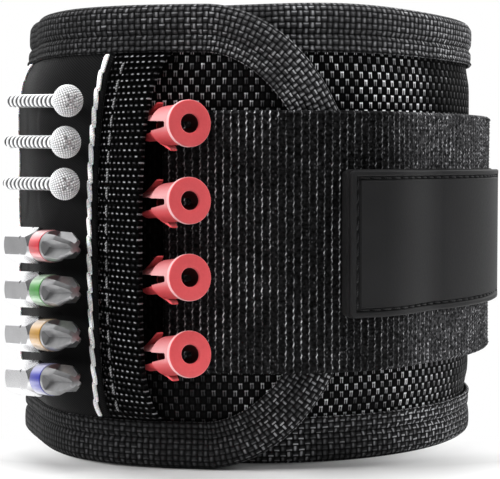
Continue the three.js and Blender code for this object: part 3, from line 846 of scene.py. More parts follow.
def build_panels():
    z = (H / 2 + 37.2 * np.sin(np.linspace(-math.pi / 2, math.pi / 2, 120)))[None, :]
    p = lerp(279.62, mouth_left(z) - 0.35, np.linspace(0, 1, 110)[:, None])
    z = np.broadcast_to(z, p.shape)
    n = pocket_out(p, z)
    edge = smooth((mouth_left(z) - 0.35 - p) / 0.7)
    n = n - 0.32 * (1 - edge)
    o = slab("magnet_pocket_front", at(p, z, n), at(p, z, n - lerp(0.25, 0.6, edge)), np.stack([arc(p), z], -1) * 0.001)
    wear(o, "panel"), across_fold(o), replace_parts(o, "pocket_panel"), o, o
    z = (H / 2 + 37.2 * np.sin(np.linspace(-math.pi / 2, math.pi / 2, 110)))[None, :]
    p = np.linspace(234.4, 275.2, 100)[:, None] + 0 * z
    z = np.broadcast_to(z, p.shape)
    n = rear_out(p, z)
    o = slab("magnet_panel_back", at(p, z, n), at(p, z, n - 0.55), np.stack([arc(p), z], -1) * 0.001)
    wear(o, "panel"), across_fold(o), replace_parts(o, "magnet_panel_rear"), o, o


# ------------------------------------------------------------------ stitches
def stitches(name, line, normal, length, gap, width, height, mat, seed, ring=10, along=9, skew=0.10, sink=0.35, slant=0.0,
             blunt=0.45, phase=0.0, aside=0.0):
    """A row of sewn stitches. line: (m,3) points in mm on the cloth; normal: (m,3)."""
    r = np.random.default_rng(seed)
    run = np.concatenate([[0], np.cumsum(np.linalg.norm(np.diff(line, axis=0), axis=1))])
    total = run[-1]
    count = max(1, int(round(total / (length + gap))))
    pitch = total / count
    s = Soup()

    def on(a, x):
        return np.stack([np.interp(x, run, a[:, k]) for k in range(3)], -1)

    for k in range(count - (1 if phase else 0)):
        x0 = max(0.0, (k + phase) * pitch + gap / 2 + r.uniform(-0.02, 0.02) * length)
        x1 = min(total, (k + 1 + phase) * pitch - gap / 2)
        t = np.linspace(0, 1, along)
        x = lerp(x0, x1, t)
        c, nn = on(line, x), on(normal, x)
        nn = nn / np.linalg.norm(nn, axis=1)[:, None]
        tan = np.gradient(c, axis=0)
        tan = tan / np.linalg.norm(tan, axis=1)[:, None]
        side = np.cross(tan, nn)
        body = np.clip(np.sin(math.pi * np.clip(t, 0.001, 0.999)), 0, 1) ** blunt
        w = width / 2 * (0.35 + 0.65 * body) * r.uniform(0.94, 1.06)
        h = height / 2 * (0.30 + 0.70 * body)
        lift = height * (0.5 - sink) - height * 0.45 * (1 - body)
        c = c + nn * lift[:, None] + side * (skew * width * np.sin(math.pi * 2 * (t - 0.1)) + slant * (t - 0.5) + aside + r.uniform(-0.04, 0.04) * width)[:, None]
        a = np.linspace(0, 2 * math.pi, ring, endpoint=False)
        P = c[:, None] + side[:, None] * (w[:, None] * np.cos(a))[..., None] + nn[:, None] * (h[:, None] * np.sin(a))[..., None]
        UV = np.stack(np.broadcast_arrays((a / (2 * math.pi) * width * 3)[None, :], x[:, None]), -1) * 0.001
        UV = np.concatenate([UV, UV[:, :1] + [[[width * 0.003, 0]]]], 1)
        UV = np.concatenate([UV, UV[-1:]], 0)
        base = s.grid(P, UV, wrap_v=True, flip=True)
        s.fan(base + np.arange(ring), c[0] - tan[0] * w[0] * 0.6, flip=True)
        s.fan(base + (along - 1) * ring + np.arange(ring), c[-1] + tan[-1] * w[-1] * 0.6)
    return wear(s.object(name), mat)


def up_line(phi_of, top_of, z0, z1, m=160):
    z = np.linspace(z0, z1, m)
    p = phi_of(z)
    n = top_of(p, z)
    line = at(p, z, n)
    e = 0.4
    du = at(p + e, z, top_of(p + e, z)) - at(p - e, z, top_of(p - e, z))
    dv = np.gradient(line, axis=0)
    nor = np.cross(du, dv)
    return line, nor / np.linalg.norm(nor, axis=1)[:, None]


def build_threads():
    z0, z1 = 9.8, 80.3
    for name, phi_of, top, node, seed in (
        ("stitch_row_pocket_right", lambda z: mouth_left(z) - 1.75 - 1.1 * smooth((17 - z) / 8), pocket_out, "thread_pocket_right", 3),
        ("stitch_row_pocket_left", lambda z: 290.4 + 0 * z, pocket_out, "thread_pocket_left", 4),
        ("stitch_row_rear_right", lambda z: 271.9 + 0 * z, rear_out, "thread_rear_right", 5),
        ("stitch_row_rear_left", lambda z: 237.6 + 0 * z, rear_out, "thread_rear_left", 6),
    ):
        line, nor = up_line(phi_of, top, z0, z1)
        o = stitches(name, line, nor, 4.05, -0.55, 1.10, 0.76, "thread", seed, ring=14, along=17, skew=0.05, sink=0.14, slant=-0.40, blunt=0.16)
        across_fold(o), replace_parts(o, node), o
        # dark marks over the joints between stitches, painted shade in the needle holes
        o = stitches(name.replace("stitch_row", "needle_hole_shade"), line, nor, 0.30, 3.20, 0.24, 0.30, "black_thread", seed, ring=8, along=7,
                     skew=0, sink=-0.86, phase=0.5, aside=0.06)
        across_fold(o), o


# ------------------------------------------------------------------ elastic at the pocket's mouth
def build_elastic():
    nu, nv = 100, 450
    u = np.linspace(0, 1, nu)[:, None]
    z = np.linspace(9.2, 80.8, nv)[None, :]
    p = lerp(mouth_left(z), mouth_right(z), u)
    zz = np.broadcast_to(z, p.shape)
    x = (u * 9 + 0.35) * ELASTIC_COL + 0 * zz
    row = zz / ELASTIC_ROW
    k = np.floor(row)
    fz = row - k - 0.5
    col = x / ELASTIC_COL + 0.28 * (k % 2)
    fx = col - np.floor(col) - 0.5
    jitter = 0.85 + 0.3 * np.random.default_rng(21).random((12, 80))
    amp = jitter[np.clip(np.floor(col).astype(int), 0, 11), np.clip(k.astype(int), 0, 79)]
    bead = np.clip(np.cos(math.pi * fx * 0.98), 0, 1) ** 0.6 * np.clip(np.cos(math.pi * fz * 1.2), 0, 1) ** 0.8
    rib = 0.5 + 0.5 * np.cos(2 * math.pi * fz)
    h = 0.14 * rib + 0.46 * bead * amp
    groove = np.exp(-((u - 0.278) / 0.035) ** 2)
    h = h * (1 - 0.75 * groove)
    close = np.sqrt(np.clip(1 - np.clip((u - 0.965) / 0.035, 0, 1) ** 2, 0, 1)) * np.sqrt(np.clip(1 - np.clip((0.04 - u) / 0.04, 0, 1) ** 2, 0, 1))
    base = mouth_in(u, zz) + 0.15
    fade = np.minimum(smooth((zz - 8.6) / 2.2), smooth((81.4 - zz) / 2.2))
    out = lerp(3.9, base + (0.95 + h) * close, fade)
    inn = np.minimum(lerp(3.3, base - 0.1, fade), out - 0.12)
    o = slab("pocket_mouth_elastic", at(p, zz, out), at(p, zz, inn), np.stack([x, zz], -1) * 0.001)
    wear(o, "elastic"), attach(o, "flap"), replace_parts(o, "pocket_elastic"), o

    def stitch_phi(z):
        return lerp(mouth_left(z), mouth_right(z), 0.278)

    def top(p, z):
        return mouth_in(0.278, z) + 1.30 + 0 * p

    line, nor = up_line(stitch_phi, top, 11.0, 79.0, 240)
    o = stitches("pocket_mouth_stitch", line, nor, 2.35, 1.15, 0.42, 0.44, "grey_thread", 8, skew=0.0, sink=-0.65, blunt=0.3)
    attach(o, "flap"), o


# ------------------------------------------------------------------ strap
def strap_relief(s, z, seed):
    """Height of the webbing's face: raised binder lines up the strap, each a chain of short floats."""
    k = np.floor(s / RIB)
    f = s / RIB - k  # 0..1, line at 0
    d = np.minimum(f, 1 - f) * RIB
    idx = (np.round(s / RIB).astype(int) % 64)
    ph = np.random.default_rng(seed).random(64)[idx]
    drift = np.random.default_rng(seed + 1).uniform(-1, 1, 64)[idx]
    side = np.where(f < 0.5, 1.0, -1.0)
    wig = 0.085 * np.sin(2 * math.pi * (z / 1.46 + ph)) + 0.05 * drift * np.sin(z * 0.35 + ph * 6)
    d2 = np.abs(np.where(f < 0.5, f, f - 1) * RIB - wig)
    chain = 0.62 + 0.38 * np.cos(2 * math.pi * (z / 0.73 + ph))
    line = np.exp(-(d2 / 0.21) ** 2) * chain
    flat = 0.07 * np.cos(2 * math.pi * z / 0.73 + 2.1 * k) * np.clip(np.sin(math.pi * f), 0, 1)
    belly = 0.10 * np.sin(math.pi * f) ** 2
    return 0.36 * line + flat + belly - 0.10


def strap_piece(name, p0, p1, seed, cut=False, end_fold=0.0):
    s0, s1 = 0.0, (p1 - p0) * DEG * 53.0
    nu = int((s1 - s0) / 0.25) + 2
    zs = np.concatenate([[STRAP_Z0 + 0.02], np.linspace(STRAP_Z0 + 0.12, STRAP_Z1 - 0.12, 214), [STRAP_Z1 - 0.02]])
    u = np.linspace(0, 1, nu)[:, None]
    p = lerp(p0, p1, u) + 0 * zs[None, :]
    off = (p - STRAP_FROM) * DEG * 53.0
    z = zs[None, :] + 0 * p
    if cut:
        c = 5.0 * np.clip((u - 0.5) / 0.5, 0, 1)
        z = lerp(STRAP_Z0 + c, STRAP_Z1 - c, (z - STRAP_Z0) / (STRAP_Z1 - STRAP_Z0))
    edge = np.minimum(z - z.min(1, keepdims=True), z.max(1, keepdims=True) - z)
    round_ = np.sqrt(np.clip(1 - (1 - np.clip(edge / 0.8, 0, 1)) ** 2, 0, 1))
    ends = np.ones_like(p)
    if end_fold:
        x = (p - p0) * DEG * 53.0
        ends = np.sqrt(np.clip(1 - (1 - np.clip(x / 0.8, 0, 1)) ** 2, 0, 1))
    if cut:
        x = (p1 - p) * DEG * 53.0
        ends = np.sqrt(np.clip(1 - (1 - np.clip(x / 0.8, 0, 1)) ** 2, 0, 1))
    k = np.minimum(round_, ends)
    relief = strap_relief(off, z, seed)
    sel = np.exp(-((edge - 0.7) / 0.45) ** 2) * 0.16 * (0.6 + 0.4 * np.cos(2 * math.pi * off / 0.72))
    wave = 0.12 * np.sin(off * 0.21 + 1.3) * np.sin(z * 0.11)
    mid = strap_in(p) + STRAP_T / 2 + wave
    out = mid + (STRAP_T / 2 - 0.12) * k + (relief + sel) * k
    inn = mid - (STRAP_T / 2 - 0.1) * k
    o = slab(name, polar(p, out, z), polar(p, inn, z), np.stack([off, z], -1) * 0.001)
    return wear(o, "strap")


def build_strap():
    split = STRAP_FROM + math.floor((440.5 - STRAP_FROM) * DEG * 53.0 / RIB) * RIB / 53.0 / DEG + RIB / 2 / 53.0 / DEG
    o = strap_piece("strap_main", STRAP_FROM, split, 31, end_fold=1.0)
    pt(373.6, 54.6, 45)
    pt(377.4, 54.6, 45)
    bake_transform(o)
    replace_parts(o, "strap_root", "strap_free"), o
    o = strap_piece("strap_tab_end", split, STRAP_END, 31, cut=True)
    pt(443.2, 51.6, 45)
    pt(446.8, 51.6, 45)
    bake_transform(o)
    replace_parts(o, "strap_pull_tab"), o
    # hook tape under the strap
    nu, nv = 150, 150
    u, v = np.linspace(0, 1, nu)[:, None], np.linspace(0, 1, nv)[None, :]
    p = lerp(392.0, 444.0, u) + 0 * v
    z = lerp(22.0, 67.0, v) + 0 * u
    a, b = (p - 392) * DEG * 49 / 1.25, z / 1.25
    hooks = np.clip(np.cos(2 * math.pi * a), 0, 1) * np.clip(np.cos(2 * math.pi * (b + 0.5 * np.floor(a + 0.5))), 0, 1)
    r_out = strap_in(p) - 0.05
    r_in = strap_in(p) - 0.85 - 0.6 * hooks
    o = slab("hook_face", polar(p, r_out, z), polar(p, r_in, z), np.stack([a, b], -1) * 0.00125)
    wear(o, "hook"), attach(o, "strap"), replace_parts(o, "hook_tape"), o
    # loop tape on the inner turn
    nu, nv = 230, 140
    u, v = np.linspace(0, 1, nu)[:, None], np.linspace(0, 1, nv)[None, :]
    p = lerp(27.5, 125.0, u) + 0 * v
    z = lerp(21.0, 68.0, v) + 0 * u
    e = np.minimum(np.minimum(p - 27.5, 125 - p) * DEG * 48, np.minimum(z - 21, 68 - z))
    k = np.sqrt(np.clip(1 - (1 - np.clip(e / 0.8, 0, 1)) ** 2, 0, 1))
    fuzz = 0.16 * noise2(nu, nv, 1.7, 1.7, 41) + 0.10 * noise2(nu, nv, 4.2, 4.2, 42)
    sewn = 0.35 * np.exp(-((e - 2.4) / 0.5) ** 2)
    o = slab("loop_face", at(p, z, 4.1 + (0.78 + fuzz - sewn) * k), at(p, z, 3.7 + 0 * p), np.stack([arc(p), z], -1) * 0.001)
    wear(o, "loop"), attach(o, "band"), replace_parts(o, "loop_tape"), o


# ------------------------------------------------------------------ rubber badge
def build_badge():
    p0, p1, z0, z1, T = 377.4, 444.2, 30.0, 58.0, 2.0
    L = (p1 - p0) * DEG * 54.0
    lift = lambda p: 2.2 * (1 - smooth((p - p0) / 24))  # its left end stands off the strap
    W = z1 - z0

    def plate(grow, rc, nu, nv):
        """x, y over a plate with round corners and the distance e in from its edge."""
        l, w = L + 2 * grow, W + 2 * grow
        x = np.linspace(0, 1, nu)[:, None]
        y = np.linspace(0, 1, nv)[None, :] * w + 0 * x
        dy = np.clip(np.maximum(rc - y, y - (w - rc)), 0, rc)
        inset = rc - np.sqrt(rc * rc - dy * dy)
        x = inset + x * (l - 2 * inset)
        e = np.minimum(np.minimum(x, l - x), np.minimum(y, w - y))
        cx = np.maximum(np.maximum(rc - x, x - (l - rc)), 0)
        cy = np.maximum(np.maximum(rc - y, y - (w - rc)), 0)
        e = np.where((cx > 0) & (cy > 0), rc - np.hypot(cx, cy), e)
        return x - grow, y - grow, np.maximum(e, 0)

    x, y, e = plate(0.0, 0.9, 330, 150)
    side = np.sqrt(np.clip(1 - (1 - np.clip(e / 0.30, 0, 1)) ** 2, 0, 1))
    h = T - 0.30 + 0.30 * side
    groove = smooth((e - 1.0) / 0.12) * (1 - smooth((e - 1.75) / 0.12))
    h = h - 0.75 * groove - 0.12 * smooth((e - 1.8) / 0.3)
    p, z = p0 + x / 54.0 / DEG, z0 + y
    r = strap_in(p) + STRAP_T + 0.1 + lift(p)
    o = slab("badge_plate", polar(p, r + h, z), polar(p, r + 0.7 + 0 * h, z), np.stack([x, y], -1) * 0.001)
    wear(o, "badge"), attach(o, "strap"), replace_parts(o, "rubber_badge"), o
    x, y, e = plate(0.22, 1.1, 120, 60)
    h = 1.35 * np.sqrt(np.clip(1 - (1 - np.clip(e / 0.25, 0, 1)) ** 2, 0.05, 1))
    p, z = p0 + x / 54.0 / DEG, z0 + y
    r = strap_in(p) + STRAP_T - 0.25
    o = slab("badge_backing", polar(p, r + h + 0.25 + lift(p), z), polar(p, r + 0 * h, z), np.stack([x, y], -1) * 0.001)
    wear(o, "backing"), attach(o, "strap"), o
    # the sewing that lies in the groove
    g, rr = 1.40, 0.3
    c = [(g + rr, g), (L - g - rr, g), (L - g, g + rr), (L - g, W - g - rr), (L - g - rr, W - g), (g + rr, W - g), (g, W - g - rr), (g, g + rr)]
    q = []
    for i in range(8):
        a, b = np.array(c[i]), np.array(c[(i + 1) % 8])
        q += [a + (b - a) * t for t in np.linspace(0, 1, 60 if i % 2 == 0 else 4, endpoint=False)]
    q = np.array(q + [np.array(c[0])])
    pp, zz = p0 + q[:, 0] / 54.0 / DEG, z0 + q[:, 1]
    line = polar(pp, strap_in(pp) + STRAP_T + 0.1 + lift(pp) + T - 0.75, zz)
    nor = polar(pp, 1.0 + 0 * pp, 0 * zz)
    o = stitches("badge_stitching", line, nor, 2.1, 0.45, 0.44, 0.4, "black_thread", 9, skew=0.0, sink=0.05, slant=0.16)
    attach(o, "strap"), o


# ------------------------------------------------------------------ load
def placed(P, x, y, z, turn, tilt=0.0):
    """Local mm (axis along +X) to the band's frame."""
    c, s = math.cos(turn * DEG), math.sin(turn * DEG)
    ct, st = math.cos(tilt * DEG), math.sin(tilt * DEG)
    R = np.array([[c, -s, 0], [s, c, 0], [0, 0, 1]]) @ np.array([[ct, 0, st], [0, 1, 0], [-st, 0, ct]])
    return P @ R.T + np.array([x, y, z])


def spin(x, r, a):
    """Points round the X axis."""
    x, r, a = np.broadcast_arrays(x, r, a)
    return np.stack([x, r * np.sin(a), r * np.cos(a)], -1)


def build_screws():
    zs = [71.39, 63.44, 55.38]
    for i, z in enumerate(zs):
        place = (-36.87 - [0, 0.5, 0.8][i], -50.65 + [0, 0.3, 0.5][i], z, -57.5, [1.77, 0.8, -0.35][i])
        s = Soup()
        # shank with a rolled thread and a blunt end; UV is angle and length
        n, m = 520, 48
        x = np.linspace(-27.0, 0.2, n)[:, None]
        a = np.linspace(0, 2 * math.pi, m, endpoint=False)[None, :]
        turn = a - 2 * math.pi * 0.37 * i
        ph = x / THREAD - turn / (2 * math.pi)
        f = np.abs(ph - np.floor(ph) - 0.5) * 2  # 1 at the root, 0 at the crest
        thread = np.clip(1.30 - f * 1.5, 0, 1) ** 0.8
        r = (0.90 + 0.43 * thread * smooth((x + 26.8) / 1.6)) * np.sqrt(np.clip(1 - (1 - np.clip((x + 27.0) / 0.8, 0, 1)) ** 2, 0.02, 1))
        base = s.grid(placed(spin(x, r, a), *place), np.stack(np.broadcast_arrays(turn, x), -1) * 0.001, wrap_v=True, flip=True)
        s.fan(base + np.arange(m), placed(np.array([[-27.02, 0, 0]]), *place)[0], flip=True)
        s.fan(base + (n - 1) * m + np.arange(m), placed(np.array([[0.2, 0, 0]]), *place)[0])
        # round head with a pressed grid of small studs and a cross recess; UV is the grid, set far off from the shank's
        n, m = 120, 220
        t = np.linspace(0, 1, n)[:, None]
        a = np.linspace(0, 2 * math.pi, m, endpoint=False)[None, :]
        ang = t * (math.pi / 2 + 0.62) - 0.62
        rr = 3.04 * np.cos(ang)
        xx = 1.05 + np.where(ang < 0, 1.85 * np.sin(ang), 2.15 * np.sin(ang))
        yl, zl = rr * np.sin(a), rr * np.cos(a)
        far = 3.0 * (math.pi / 2 - ang)
        g1, g2 = far * np.sin(a + 0.30), far * np.cos(a + 0.30)
        stud = np.clip(np.cos(2 * math.pi * g1 / STUD), -0.6, 1) + np.clip(np.cos(2 * math.pi * g2 / STUD), -0.6, 1)
        arm = lambda q, w: smooth((0.50 - np.abs(q) - 0.10 * np.abs(w)) / 0.30) * smooth((1.75 - np.abs(w)) / 0.5)
        b1, b2 = yl * math.cos(0.72) + zl * math.sin(0.72), -yl * math.sin(0.72) + zl * math.cos(0.72)
        cross = np.maximum(arm(b1, b2), arm(b2, b1)) * (ang > 0.3)
        lift = 0.06 * stud * smooth((ang + 0.35) / 0.2) * (1 - cross)
        P = spin(xx + lift * np.sin(ang) - 0.6 * cross * smooth((2.1 - rr) / 0.7), rr + lift * np.cos(ang), a + 0 * t)
        UV = np.stack([200 + g1, 200 + g2], -1)
        UV = np.concatenate([UV, UV[:, :1]], 1)
        first = s.faces()
        base = s.grid(placed(P, *place), np.concatenate([UV, UV[-1:]], 0) * 0.001, wrap_v=True, flip=True)
        last = s.faces()
        s.fan(base + np.arange(m), placed(np.array([[-0.05, 0, 0]]), *place)[0], flip=True, uv=np.array([0.2, 0.2]))
        s.fan(base + (n - 1) * m + np.arange(m), placed(P[-1].mean(0)[None], *place)[0], uv=np.array([0.2, 0.2]))
        o = wear(s.object(f"round_head_screw_{i + 1}"), "zinc")
        o.data.materials.append(M["zinc_head"])
        index = np.zeros(len(o.data.polygons), np.int32)
        index[first:last] = 1
        o.data.polygons.foreach_set("material_index", index)
        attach(o, f"screw_{i + 1}"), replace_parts(o, f"screw_{i + 1}"), o


def lathed(name, prof, m=96):
    """A closed turned blank round the X axis; prof holds x and radius."""
    prof = np.array(prof, float)
    a = np.linspace(0, 2 * math.pi, m, endpoint=False)[None, :]
    s = Soup()
    base = s.grid(spin(prof[:, 0][:, None], prof[:, 1][:, None], a), None, wrap_v=True, flip=True)
    s.fan(base + np.arange(m), (prof[0, 0], 0, 0), flip=True)
    s.fan(base + (len(prof) - 1) * m + np.arange(m), (prof[-1, 0], 0, 0))
    return s.object(name)


def cut_by(blank, tools, how):
    """The blank's mesh after each tool was taken off it or kept in common with it."""
    for o in [blank] + tools:
        bm = bmesh.new()
        bm.from_mesh(o.data)
        bmesh.ops.recalc_face_normals(bm, faces=bm.faces)
        bm.to_mesh(o.data)
        bm.free()
    for o in tools:
        mod = blank.modifiers.new(o.name, "BOOLEAN")
        mod.operation, mod.solver, mod.object = how, "EXACT", o
    bpy.context.view_layer.update()
    done = bpy.data.meshes.new_from_object(blank.evaluated_get(bpy.context.evaluated_depsgraph_get()))
    for o in [blank] + tools:
        me = o.data
        bpy.data.objects.remove(o)
        bpy.data.meshes.remove(me)
    return done


def bit_shapes():
    """Hexagon and cross tip of an insert bit in its own frame."""
    # hexagon: corners point up and down, flats towards the band and away from it; a detent ring crosses the corners
    blank = lathed("bit_blank", [(0.0, 2.98), (0.70, 3.62), (7.25, 3.62), (7.42, 3.45), (7.72, 3.45), (7.90, 3.62), (9.95, 3.62), (11.30, 2.90), (11.38, 2.35), (16.0, 2.35)], 180)
    c = np.arange(6) * math.pi / 3
    P = np.concatenate([spin(x, 3.666, c) for x in (-0.5, 16.5)])
    q = [(k, (k + 1) % 6, 6 + (k + 1) % 6, 6 + k) for k in range(6)] + [(0, 1, 2, 3), (0, 3, 4, 5), (6, 7, 8, 9), (6, 9, 10, 11)]
    hexagon = cut_by(blank, [mesh_of("bit_hexagon", P, q, np.zeros((len(q) * 4, 2)))], "INTERSECT")
    # tip: wings left between four wide flutes, each with a sloping end by the sleeve
    blank = lathed("bit_tip_blank", [(15.72, 2.95), (15.95, 3.08), (18.0, 3.10), (20.9, 3.10), (21.2, 3.0), (23.5, 2.05), (24.3, 1.72), (24.75, 1.48), (24.95, 1.20), (25.02, 0.7), (25.04, 0.2)])
    tools = []
    for k in range(4):
        w, t, tilt, run = 4.6, 3.4, 6.6 * DEG, 1.5
        P = np.array([(x0 + (run - run * z / t if x0 == 0 else 0), y, z) for x0 in (0.0, 14.0) for y, z in ((0, 0), (w, t), (0, 2 * t), (-w, t))])
        x, y, z = P[:, 0], P[:, 1], P[:, 2]
        x, z = 15.75 + x * math.cos(tilt) + z * math.sin(tilt), 1.80 - x * math.sin(tilt) + z * math.cos(tilt)
        c = k * math.pi / 2 - 0.12
        P = np.stack([x, y * math.cos(c) + z * math.sin(c), -y * math.sin(c) + z * math.cos(c)], -1)
        q = [(0, 1, 2, 3), (7, 6, 5, 4), (0, 4, 5, 1), (1, 5, 6, 2), (2, 6, 7, 3), (3, 7, 4, 0)]
        tools.append(mesh_of(f"bit_flute_{k}", P, q, np.zeros((24, 2))))
    return hexagon, cut_by(blank, tools, "DIFFERENCE")


def build_bits():
    shapes = bit_shapes()
    zs = [43.48, 34.97, 26.47, 17.96]
    for i, z in enumerate(zs):
        tilt = [-1.4, -2.6, -3.8, -5.0][i]
        place = (-48.5, -35.6, z + 25 * math.sin(tilt * DEG), -55.95, tilt)
        there = Matrix.Translation(Vector(place[:3]) * 0.001) @ Matrix.Rotation(place[3] * DEG, 4, "Z") @ Matrix.Rotation(place[4] * DEG, 4, "Y")
        bm = bmesh.new()
        for me in shapes:
            bm.from_mesh(me)
        for f in bm.faces:
            f.smooth = True
        tip = np.array([f.calc_center_median().x > 0.0157 for f in bm.faces], np.int32)
        bm.transform(there)
        me = bpy.data.meshes.new(f"driver_bit_{i + 1}")
        bm.to_mesh(me)
        bm.free()
        o = bpy.data.objects.new(f"driver_bit_{i + 1}", me)
        bpy.context.scene.collection.objects.link(o)
        wear(o, "steel")
        o.data.materials.append(M["steel_tip"])
        o.data.polygons.foreach_set("material_index", tip)
        sharpen(o, 20)
        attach(o, f"bit_{i + 1}"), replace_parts(o, f"bit_{i + 1}"), o
        # colour sleeve
        s = Soup()
        q, xa, xb = 0.18, 11.42, 15.85
        prof = [(2.4, xa)] + [(3.18 - q + q * math.sin(t), xa + q - q * math.cos(t)) for t in np.linspace(0, math.pi / 2, 6)]
        prof += [(3.18 - q + q * math.cos(t), xb - q + q * math.sin(t)) for t in np.linspace(0, math.pi / 2, 6)] + [(2.4, xb)]
        prof = np.array(prof)
        a = np.linspace(0, 2 * math.pi, 128, endpoint=False)[None, :]
        s.grid(placed(spin(prof[:, 1][:, None], prof[:, 0][:, None], a), *place), None, wrap_v=True, wrap_u=True, flip=True)
        o = wear(s.object(f"colour_sleeve_{i + 1}"), f"sleeve_{i + 1}")
        sharpen(o, 40)
        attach(o, f"bit_{i + 1}"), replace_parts(o, f"bit_sleeve_{i + 1}"), o
    for me in shapes:
        bpy.data.meshes.remove(me)


def sharpen(o, degrees):
    """Marks edges sharper than this, so that flats and flutes keep crisp borders."""
    me = o.data
    bm = bmesh.new()
    bm.from_mesh(me)
    lim = degrees * DEG
    for e in bm.edges:
        if len(e.link_faces) == 2 and e.calc_face_angle(0) > lim:
            e.smooth = False
    bm.to_mesh(me)
    bm.free()


PLUG_L = 18.5


def sector(s, place, x, r_in, r_out, mid, half_in, half_out, na=20):
    """A closed leg round the axis: x (n,), radii (n,), spread (n,) on either side of the angle mid."""
    n = len(x)
    t = np.linspace(-1, 1, na)[None, :]
    out = spin(x[:, None], r_out[:, None], mid + half_out[:, None] * t)
    inn = spin(x[:, None], r_in[:, None], mid - half_in[:, None] * t)
    ring = np.concatenate([out, inn], 1)
    first = s.faces()
    base = s.grid(placed(ring, *place), None, wrap_v=True, flip=True)
    k = ring.shape[1]
    j = np.arange(na - 1)
    cap = base + np.stack([j, j + 1, k - 2 - j, k - 1 - j], 1)
    s.quads(cap[:, ::-1])
    s.quads(cap + (n - 1) * k)
    rows = first + np.arange(n - 1)[:, None] * k
    return (rows + np.arange(na, 2 * na - 1)).ravel(), (rows + np.arange(na - 1)).ravel()  # faces inside and outside


def build_plugs():
    zs, tilts = [66.64, 52.7, 38.75, 24.75], [-2.0, -4.2, -6.4, -8.6]
    b, end = 1.75, 15.4
    for i, z in enumerate(zs):
        t = tilts[i] * DEG
        back = PLUG_L * math.cos(t)
        place = (-12.16 - back * 0.4848, -69.0 + back * 0.8746, z + PLUG_L * math.sin(t), -61.0, tilts[i])
        s = Soup()
        # neck and collar, a closed ring
        prof = [(b, end), (3.7, end), (3.7, 16.75), (3.62, 16.95), (3.42, 17.08), (3.42, 17.28)]
        prof += [(4.02 + 0.28 * math.sin(t), 17.58 - 0.28 * math.cos(t)) for t in np.linspace(0, math.pi / 2, 5)]
        prof += [(4.02 + 0.28 * math.cos(t), 18.22 + 0.28 * math.sin(t)) for t in np.linspace(0, math.pi / 2, 6)]
        prof += [(3.2, 18.5), (2.15, 18.48)]
        prof += [(b + 0.28 * (1 - math.sin(t)), 18.2 + 0.28 * math.cos(t)) for t in np.linspace(0.25, math.pi / 2, 5)]
        prof += [(b, 16.0)]
        prof = np.array(prof)
        a = np.linspace(0, 2 * math.pi, 120, endpoint=False)[None, :]
        s.grid(placed(spin(prof[:, 1][:, None], prof[:, 0][:, None], a), *place), None, wrap_v=True, wrap_u=True, flip=True)
        # faces that get the painted shade: the bore's wall, the web and the legs' inner faces
        dark = [np.arange((len(prof) - 2) * 120, len(prof) * 120)]
        # faces painted paler with light by their normal, and the rim's faces with a painted highlight
        painted_light_faces, rim = [np.arange(1 * 120, 6 * 120)], np.arange(6 * 120, 13 * 120)
        # a thin web closes the bore halfway down; it is painted dark as shade, like the bore
        web = np.array([(0.02, 8.0), (b + 0.02, 8.0), (b + 0.02, 8.3), (0.02, 8.3)])
        first = s.faces()
        s.grid(placed(spin(web[:, 1][:, None], web[:, 0][:, None], a), *place), None, wrap_v=True, wrap_u=True, flip=True)
        dark.append(first + np.arange(4 * 120))
        # an upper and a lower leg with a slit between them that narrows towards the collar
        x = np.concatenate([np.linspace(0.8, 14.3, 60), end - (end - 14.85) * np.cos(np.linspace(0.12, math.pi / 2, 12))])
        ro = np.interp(x, [0.8, 1.2, 6.2, 7.4, 8.3, 8.9, 9.4, 14.6], [2.3, 2.55, 2.6, 2.72, 3.0, 3.45, 3.7, 3.7])
        ri = np.full_like(x, b)
        h = np.where(x < 14.85, np.interp(x, [0.8, 6.6, 14.85], [1.42, 1.10, 0.55]), np.sqrt(np.clip(0.55 ** 2 - (x - 14.85) ** 2, 0, None)))
        for mid in (0.0, math.pi):
            inner, outer = sector(s, place, x, ri, ro, mid, math.pi / 2 - np.arcsin(h / ri), math.pi / 2 - np.arcsin(h / ro), 30)
            dark.append(inner), painted_light_faces.append(outer)
        # sprung barbs: thin curved tongues that leave the legs and flare towards the collar
        for mid, x0, x1, ra, rb in ((0.0, 1.2, 6.2, 2.30, 4.30), (math.pi, 7.5, 11.6, 3.00, 4.40)):
            f = np.linspace(0, 1, 18)
            top = ra + (rb - ra) * (f * 0.75 + 0.25 * f ** 2) + 0.32
            thick = np.interp(f, [0, 0.85, 1.0], [0.58, 0.42, 0.26])
            half = np.arcsin(np.interp(f, [0, 0.85, 1.0], [0.86, 0.86, 0.66]) / top)
            painted_light_faces.extend(sector(s, place, lerp(x0, x1, f), top - thick, top, mid, half, half, 10))
        o = wear(s.object(f"red_wall_plug_{i + 1}"), "plug")
        o.data.materials.append(M["plug_bore_painted_shade"])
        o.data.materials.append(M["plug_side_painted_light"])
        o.data.materials.append(M["plug_rim_painted_highlight"])
        index = np.zeros(len(o.data.polygons), np.int32)
        index[np.concatenate(dark)] = 1
        index[np.concatenate(painted_light_faces)] = 2
        index[rim] = 3
        o.data.polygons.foreach_set("material_index", index)
        sharpen(o, 32)
        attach(o, f"wall_plug_{i + 1}"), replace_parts(o, f"wall_plug_{i + 1}"), o


# ------------------------------------------------------------------ what stays from the frame
def finish_frame_nodes():
    for name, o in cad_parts.items():
        if name.startswith("magnet_") and name != "magnet_panel_rear":
            o.data.materials.clear()
            o.data.materials.append(M["magnet"])
        elif name == "pocket_backing":
            o.data.materials.clear()
            o.data.materials.append(M["backing"])


